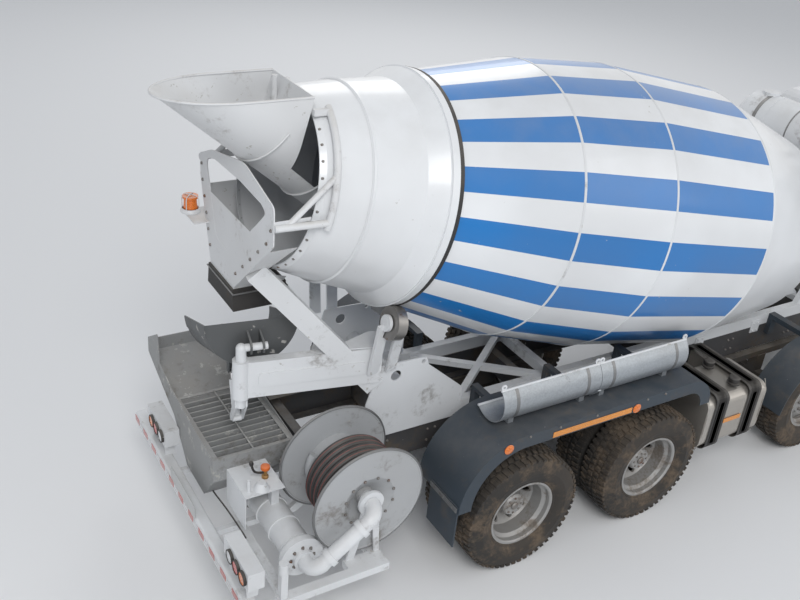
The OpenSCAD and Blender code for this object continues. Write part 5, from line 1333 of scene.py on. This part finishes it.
class WaterTank(Fittings):
    """Straps, filler, level tube and outlet of the water tank."""

    X, Z = 4.44, 2.715
    RADIUS = 0.275

    def build(self) -> None:
        """Build the tank's fittings."""
        x, z, radius = self.X, self.Z, self.RADIUS
        strap = [(radius - 0.001, -0.02), (radius + 0.004, -0.019), (radius + 0.004, 0.019),
                 (radius - 0.001, 0.02)]
        self.add("water_tank_straps", [lathe(strap, at(x, y, z), Axis.Y, 56, True)
                                       for y in (-0.8, -0.385, 0.385, 0.8)],
                 "strap steel", "light_grey_paint")
        cap = [(0.0, -0.01), (0.07, -0.01), (0.07, 0.03), (0.078, 0.034), (0.078, 0.05),
               (0.066, 0.06), (0.0, 0.064)]
        self.add("water_tank_filler", lathe(cap, at(x, -0.1, z + radius), sides=28),
                 "black trim", "light_grey_paint")
        rear = x - radius
        tube = ((0.05, -0.2), (-0.02, -0.17), (-0.03, 0.0), (-0.02, 0.17), (0.05, 0.2))
        self.add("water_level_tube", pipe([at(rear + dx, -0.6, z + dz) for dx, dz in tube],
                                          0.011, 3), "clear glass", "clear_glass")
        run = ((x, -0.5, z - radius + 0.01), (x, -0.5, z - 0.42), (x - 0.02, -0.46, z - 0.7),
               (x - 0.02, -0.44, 1.5), (x - 0.05, -0.435, 1.2))
        self.add("water_outlet", pipe([at(*place) for place in run], 0.02, 3),
                 "black rubber", "black_rubber")


class Cab(Fittings):
    """Outside and dash fittings of the cab, its doors and the bumper."""

    body = "cab"
    FRONT, HALF, BELT, ROOF = 6.97, 1.23, 1.9, 2.96

    def build(self) -> None:
        """Build fittings that tilt with the cab, then those on the doors and bumper."""
        trim = "black_trim"
        self.add("wipers", self._wipers(), "black trim", trim)
        self.add("sun_visor", self._visor(), "black trim", trim)
        marker = [(0.0, -0.004), (0.036, -0.004), (0.038, 0.004), (0.03, 0.022), (0.014, 0.03),
                  (0.0, 0.031)]
        self.add("roof_markers", [lathe(marker, at(6.5, y, self.ROOF - 0.004), sides=20)
                                  for y in (-0.95, -0.2, 0.0, 0.2, 0.95)],
                 "lens orange", "lamp_lens")
        low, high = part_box("front_bumper")
        plate = block((high.x - 0.001, -0.26, low.z + 0.12), (high.x + 0.005, 0.26, low.z + 0.24),
                      0.0015)
        self.add("front_plate_blank", inset(plate, lambda f: f.normal.x > FACING, 0.008, 0.001),
                 "plate blank", "bumper_paint")
        x = self.FRONT + 0.003
        rods = [-0.84 + 0.08 * index for index in range(22)]
        self.add("grille_rods", [pipe([at(x, y, 1.22), at(x, y, 1.7)], 0.0025, 1, False)
                                 for y in rods], "black trim", trim)
        self.add("mirror_faces", [block(at(6.777, y - 0.09, 2.11), at(6.7805, y + 0.09, 2.45),
                                        0.001) for y in (1.37, -1.37)],
                 "mirror face", "clear_glass")
        self.add("windscreen_seal", self._seal(), "black rubber", "black_rubber")
        self.add("dash_fittings", self._dash(), "black trim", trim)
        for side in Side:
            self._door(side)
        bezel = [(0.106, -0.012), (0.124, -0.01), (0.128, 0.002), (0.118, 0.01), (0.106, 0.004)]
        self.add("headlamp_bezels", [lathe(bezel, (high.x - 0.002, y, 0.59), Axis.X, 44, True)
                                     for y in (-0.95, 0.95)],
                 "black trim", "bumper_paint", "chassis")
        heads = [(high.x, y, z) for y in (-0.42, 0.42) for z in (low.z + 0.06, high.z - 0.06)]
        self.add("bumper_bolts", hex_bolts(heads, (1, 0, 0), 0.011),
                 "bolt steel", "bumper_paint", "chassis")

    def _front_x(self, z: float) -> float:
        """Front of the windscreen's face at a height, leaning back above the belt."""
        return self.FRONT - max(0.0, (z - self.BELT) / (self.ROOF - self.BELT)) * 0.07

    def _wipers(self) -> list[Obj]:
        """Two wipers with arms, blades and pivots."""
        pivot = [(0.0, -0.02), (0.022, -0.02), (0.022, 0.008), (0.014, 0.016), (0.0, 0.018)]
        parts = []
        for y in (0.55, -0.4):
            foot = at(self._front_x(1.9) + 0.012, y, 1.905)
            mid = at(self._front_x(2.05) + 0.03, y - 0.16, 2.05)
            tip = at(self._front_x(2.2) + 0.022, y - 0.34, 2.2)
            parts.append(pipe([foot, mid, tip], 0.006, 2))
            low = at(self._front_x(1.99) + 0.014, y - 0.26, 1.965)
            high = at(self._front_x(2.43) + 0.014, y - 0.4, 2.43)
            bowed = (low + high) / 2 + Vector((0.006, 0, 0))
            parts.append(pipe([low, bowed, high], 0.007, 2))
            parts.append(lathe(pivot, foot, Axis.X, 18))
        return parts

    def _visor(self) -> list[Obj]:
        """Sun visor across the top of the windscreen, on three stays."""
        depth, width = 0.2, 2.05
        deselect()
        bpy.ops.mesh.primitive_plane_add(size=1, location=(0, 0, 0))
        obj = bpy.context.object
        obj.scale = (depth, width, 1)
        settle(obj)
        edit(obj)
        bpy.ops.mesh.subdivide(number_cuts=7)
        close()
        for vertex in obj.data.vertices:
            t = (vertex.co.x + depth / 2) / depth
            vertex.co.z = -0.05 * t * t - 0.035 * (vertex.co.y / 1.02) ** 4
        x = self._front_x(2.8)
        obj.data.transform(Matrix.Translation(at(x + 0.13, 0, 2.83)))
        sheet = walled(obj, 0.006)
        stays = [block(at(x - 0.02, y - 0.012, 2.8), at(x + 0.07, y + 0.012, 2.83), 0.003)
                 for y in (-0.85, 0.0, 0.85)]
        return [smooth(sheet)] + stays

    def _seal(self) -> Obj:
        """Rubber round the windscreen's edge."""
        y, low, high, r = 1.082, 1.985, 2.8, 0.08
        run = []
        for cy, cz, start in ((y - r, low + r, -90), (y - r, high - r, 0),
                              (-y + r, high - r, 90), (-y + r, low + r, 180)):
            for step in range(5):
                a = math.radians(start + 22.5 * step)
                z = cz + r * math.sin(a)
                run.append(at(self._front_x(z) + 0.001, cy + r * math.cos(a), z))
        return pipe(run + run[:1], 0.011, 2, False)

    @staticmethod
    def _dash() -> list[Obj]:
        """Instrument bezels, vents and the gear lever with its boot."""
        dial = [(0.0, -0.006), (0.048, -0.006), (0.05, 0.008), (0.042, 0.012), (0.04, 0.004),
                (0.0, 0.003)]
        parts = [lathe(dial, at(6.63, y, 1.885), toward=(-0.62, 0, 0.78), sides=28)
                 for y in (0.5, 0.62, 0.74)]
        for y in (-0.8, -0.2, 0.2, 1.0):
            vent = block(at(6.605, y - 0.07, 1.835), at(6.62, y + 0.07, 1.875), 0.003)
            parts.append(inset(vent, lambda f: f.normal.x < -FACING, 0.006, 0.006))
        boot = [(0.0, 0.0), (0.075, 0.0), (0.06, 0.03), (0.065, 0.04), (0.045, 0.065),
                (0.05, 0.075), (0.02, 0.11), (0.014, 0.11), (0.012, 0.3), (0.03, 0.32),
                (0.03, 0.35), (0.0, 0.365)]
        return parts + [lathe(boot, at(6.2, 0.2, 1.45), sides=24)]

    def _door(self, side: Side) -> None:
        """Handle and moulding of one door."""
        sign, body = side.value, f"door_{side.word}"
        y, out = sign * self.HALF, sign * (self.HALF + 0.035)
        pocket = [(0.0, -0.002), (0.05, -0.002), (0.054, 0.004), (0.046, 0.007), (0.0, 0.004)]
        grip = [at(5.66, y, 1.74), at(5.66, out, 1.745), at(5.79, out, 1.745),
                at(5.79, y, 1.74)]
        self.add(f"door_handle_{side.word}",
                 [lathe(pocket, at(5.72, y, 1.72), toward=(0, sign, 0), sides=26),
                  pipe(grip, 0.009, 3)], "black trim", "black_trim", body)
        inner, outer = sorted((y - sign * 0.002, y + sign * 0.012))
        self.add(f"door_moulding_{side.word}",
                 block(at(5.64, inner, 1.4), at(6.48, outer, 1.46), 0.004),
                 "black trim", "black_trim", body)


class Seats(Fittings):
    """Padded cushions and backs of both seats, swelled by a cloth run."""

    body = "cab"
    # Middle of a seat across the truck, rear of its cushion and height of its base.
    Y, X0, BASE = 0.62, 5.52, 1.5
    LEAN = math.radians(-9)
    # Pads as [name, length, width and height, middle from the seat's rear, lean].
    PADS = (("cushion", (0.5, 0.49, 0.135), (0.27, 0.0, 0.0775), 0.0),
            ("back", (0.13, 0.49, 0.66), (-0.055, 0.0, 0.43), LEAN),
            ("headrest", (0.09, 0.27, 0.19), (-0.135, 0.0, 0.85), LEAN))
    SWELL = 0.026
    FRAMES = 20

    def build(self) -> None:
        """Build one cushion, back and headrest, then set them on both seats."""
        pads = [(name, self._pad(*sizes)) for name, *sizes in self.PADS]
        for side in Side:
            place = Matrix.Translation(at(self.X0, side.value * self.Y, self.BASE))
            for name, pad in pads:
                twin = twin_of(pad)
                twin.data.transform(place)
                self.add(f"seat_{name}_{side.word}", twin, "seat cloth", "seat_cloth")
        for _, pad in pads:
            bpy.data.objects.remove(pad)
        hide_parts("cab_seats")

    def _pad(self, size: Point, middle: Point, lean: float) -> Obj:
        """One swelled pad with crisp seams, with its place in its mesh.

        Args:
            size: length, width and height.
            middle: its middle, from the seat's rear corner.
            lean: angle that it leans back.

        Returns:
            The pad.
        """
        half = Vector(size) / 2
        obj = rounded(cube(-half, half), min(size) * 0.26, 3)
        remesh = obj.modifiers.new("Grid", "REMESH")
        remesh.mode = "VOXEL"
        remesh.voxel_size = 0.012
        apply_all(obj)
        self._swell(obj)
        fit = [s / max(1e-6, d) for s, d in zip(size, obj.dimensions)]
        lay = Matrix.Translation(Vector(middle)) @ Matrix.Rotation(lean, 4, "Y")
        obj.data.transform(lay @ Matrix.Diagonal((*fit, 1)))
        return smooth(obj, 60)

    def _swell(self, obj: Obj) -> None:
        """Blow a pad up with the cloth run, no point farther than the limit."""
        start = [v.co.copy() for v in obj.data.vertices]
        cloth = obj.modifiers.new("Swell", "CLOTH")
        cloth.settings.use_pressure = True
        cloth.settings.uniform_pressure_force = 4.0
        cloth.settings.quality = 5
        cloth.settings.effector_weights.gravity = 0
        cloth.point_cache.frame_start = 1
        cloth.point_cache.frame_end = self.FRAMES
        scene = bpy.context.scene
        for number in range(1, self.FRAMES + 1):
            scene.frame_set(number)
        apply_all(obj)
        scene.frame_set(1)
        for vertex, old in zip(obj.data.vertices, start):
            move = vertex.co - old
            if move.length > self.SWELL:
                vertex.co = old + move.normalized() * self.SWELL


BUILDERS: tuple[type[Fittings], ...] = (
    Wheels, DrumDressing, RearEnd, Pump, Reel, Underrun, Troughs, Tank, Mudguards, Chassis,
    WaterTank, Cab, Seats)


@dataclass(frozen=True)
class Studio:
    """Floor, light and camera, at the photo's viewing angle; angles in degrees, lens in mm."""

    place: Point = (-6.389, -5.407, 5.542)
    yaw: float = 56.562
    pitch: float = 28.874
    roll: float = 5.7
    lens: float = 42.2
    # Lamps as [name, place, watts, size].
    lamps: tuple[tuple[str, Point, float, float], ...] = (
        ("key", (-8, -12, 14), 1500, 7), ("fill", (10, -12, 9), 350, 9),
        ("back", (6, 14, 12), 600, 9))

    def build(self) -> None:
        """Make the stage and the camera."""
        bpy.context.scene.view_settings.view_transform = "Standard"
        deselect()
        bpy.ops.mesh.primitive_plane_add(size=60, location=(0, 0, -0.002))
        floor = settle(named("floor"))
        paint, g, shader = blank("floor")
        g.fill(shader, Base_Color=(0.8, 0.8, 0.8), Roughness=0.9)
        floor.data.materials.append(paint)
        lamps = [self._lamp(*row) for row in self.lamps]
        self._sky()
        self._camera()

    @staticmethod
    def _lamp(name: str, place: Point, power: float, size: float) -> Obj:
        """Soft lamp that looks at the truck's middle."""
        bpy.ops.object.light_add(type="AREA", location=place)
        lamp = named(name)
        lamp.data.energy = power
        lamp.data.size = size
        aim = Vector((0, 0, 1.5)) - Vector(place)
        lamp.rotation_euler = aim.to_track_quat("-Z", "Y").to_euler()
        return lamp

    def _camera(self) -> Obj:
        """Camera turned by yaw, pitch and roll."""
        bpy.ops.object.camera_add(location=self.place)
        camera = named("camera")
        camera.data.lens = self.lens
        camera.data.sensor_width = 36
        camera.data.clip_end = 200
        yaw, pitch, roll = (math.radians(v) for v in (self.yaw, self.pitch, self.roll))
        ahead = Vector((math.cos(pitch) * math.cos(yaw), math.cos(pitch) * math.sin(yaw),
                        -math.sin(pitch)))
        right = ahead.cross(Vector((0, 0, 1))).normalized()
        up = right.cross(ahead)
        turn = Matrix((right * math.cos(roll) + up * math.sin(roll),
                       up * math.cos(roll) - right * math.sin(roll), -ahead)).transposed()
        camera.matrix_world = Matrix.Translation(Vector(self.place)) @ turn.to_4x4()
        bpy.context.scene.camera = camera
        return camera

    @staticmethod
    def _sky() -> None:
        """Soft light from all round, with white where nothing is seen."""
        world = bpy.data.worlds.new("sky")
        bpy.context.scene.world = world
        world.use_nodes = True
        g = Graph(world.node_tree)
        rays = g.node("LightPath").outputs
        through = g.math("MAXIMUM", rays["Is Glossy Ray"], rays["Is Transmission Ray"])
        shown = g.math("MAXIMUM", rays["Is Camera Ray"], through)
        g.fill(world.node_tree.nodes["Background"].inputs,
               Color=g.mix(shown, (0.86, 0.9, 0.96), (1.0, 1.0, 1.0)),
               Strength=g.math("MULTIPLY_ADD", shown, 0.45, 0.55))


def main() -> None:
    """Dress every node, build each class in order, then set the stage."""
    logging.basicConfig(level=logging.INFO, format="%(message)s")
    palette = Palette()
    palette.dress_nodes()
    palette.dress_lamps()
    for kind in BUILDERS:
        fittings = kind(palette)
        fittings.build()
        for piece in fittings.made:
            log.info("%s: %s, %d faces", kind.__name__, piece.name, len(piece.data.polygons))
    Studio().build()


if __name__ == "__main__":
    main()
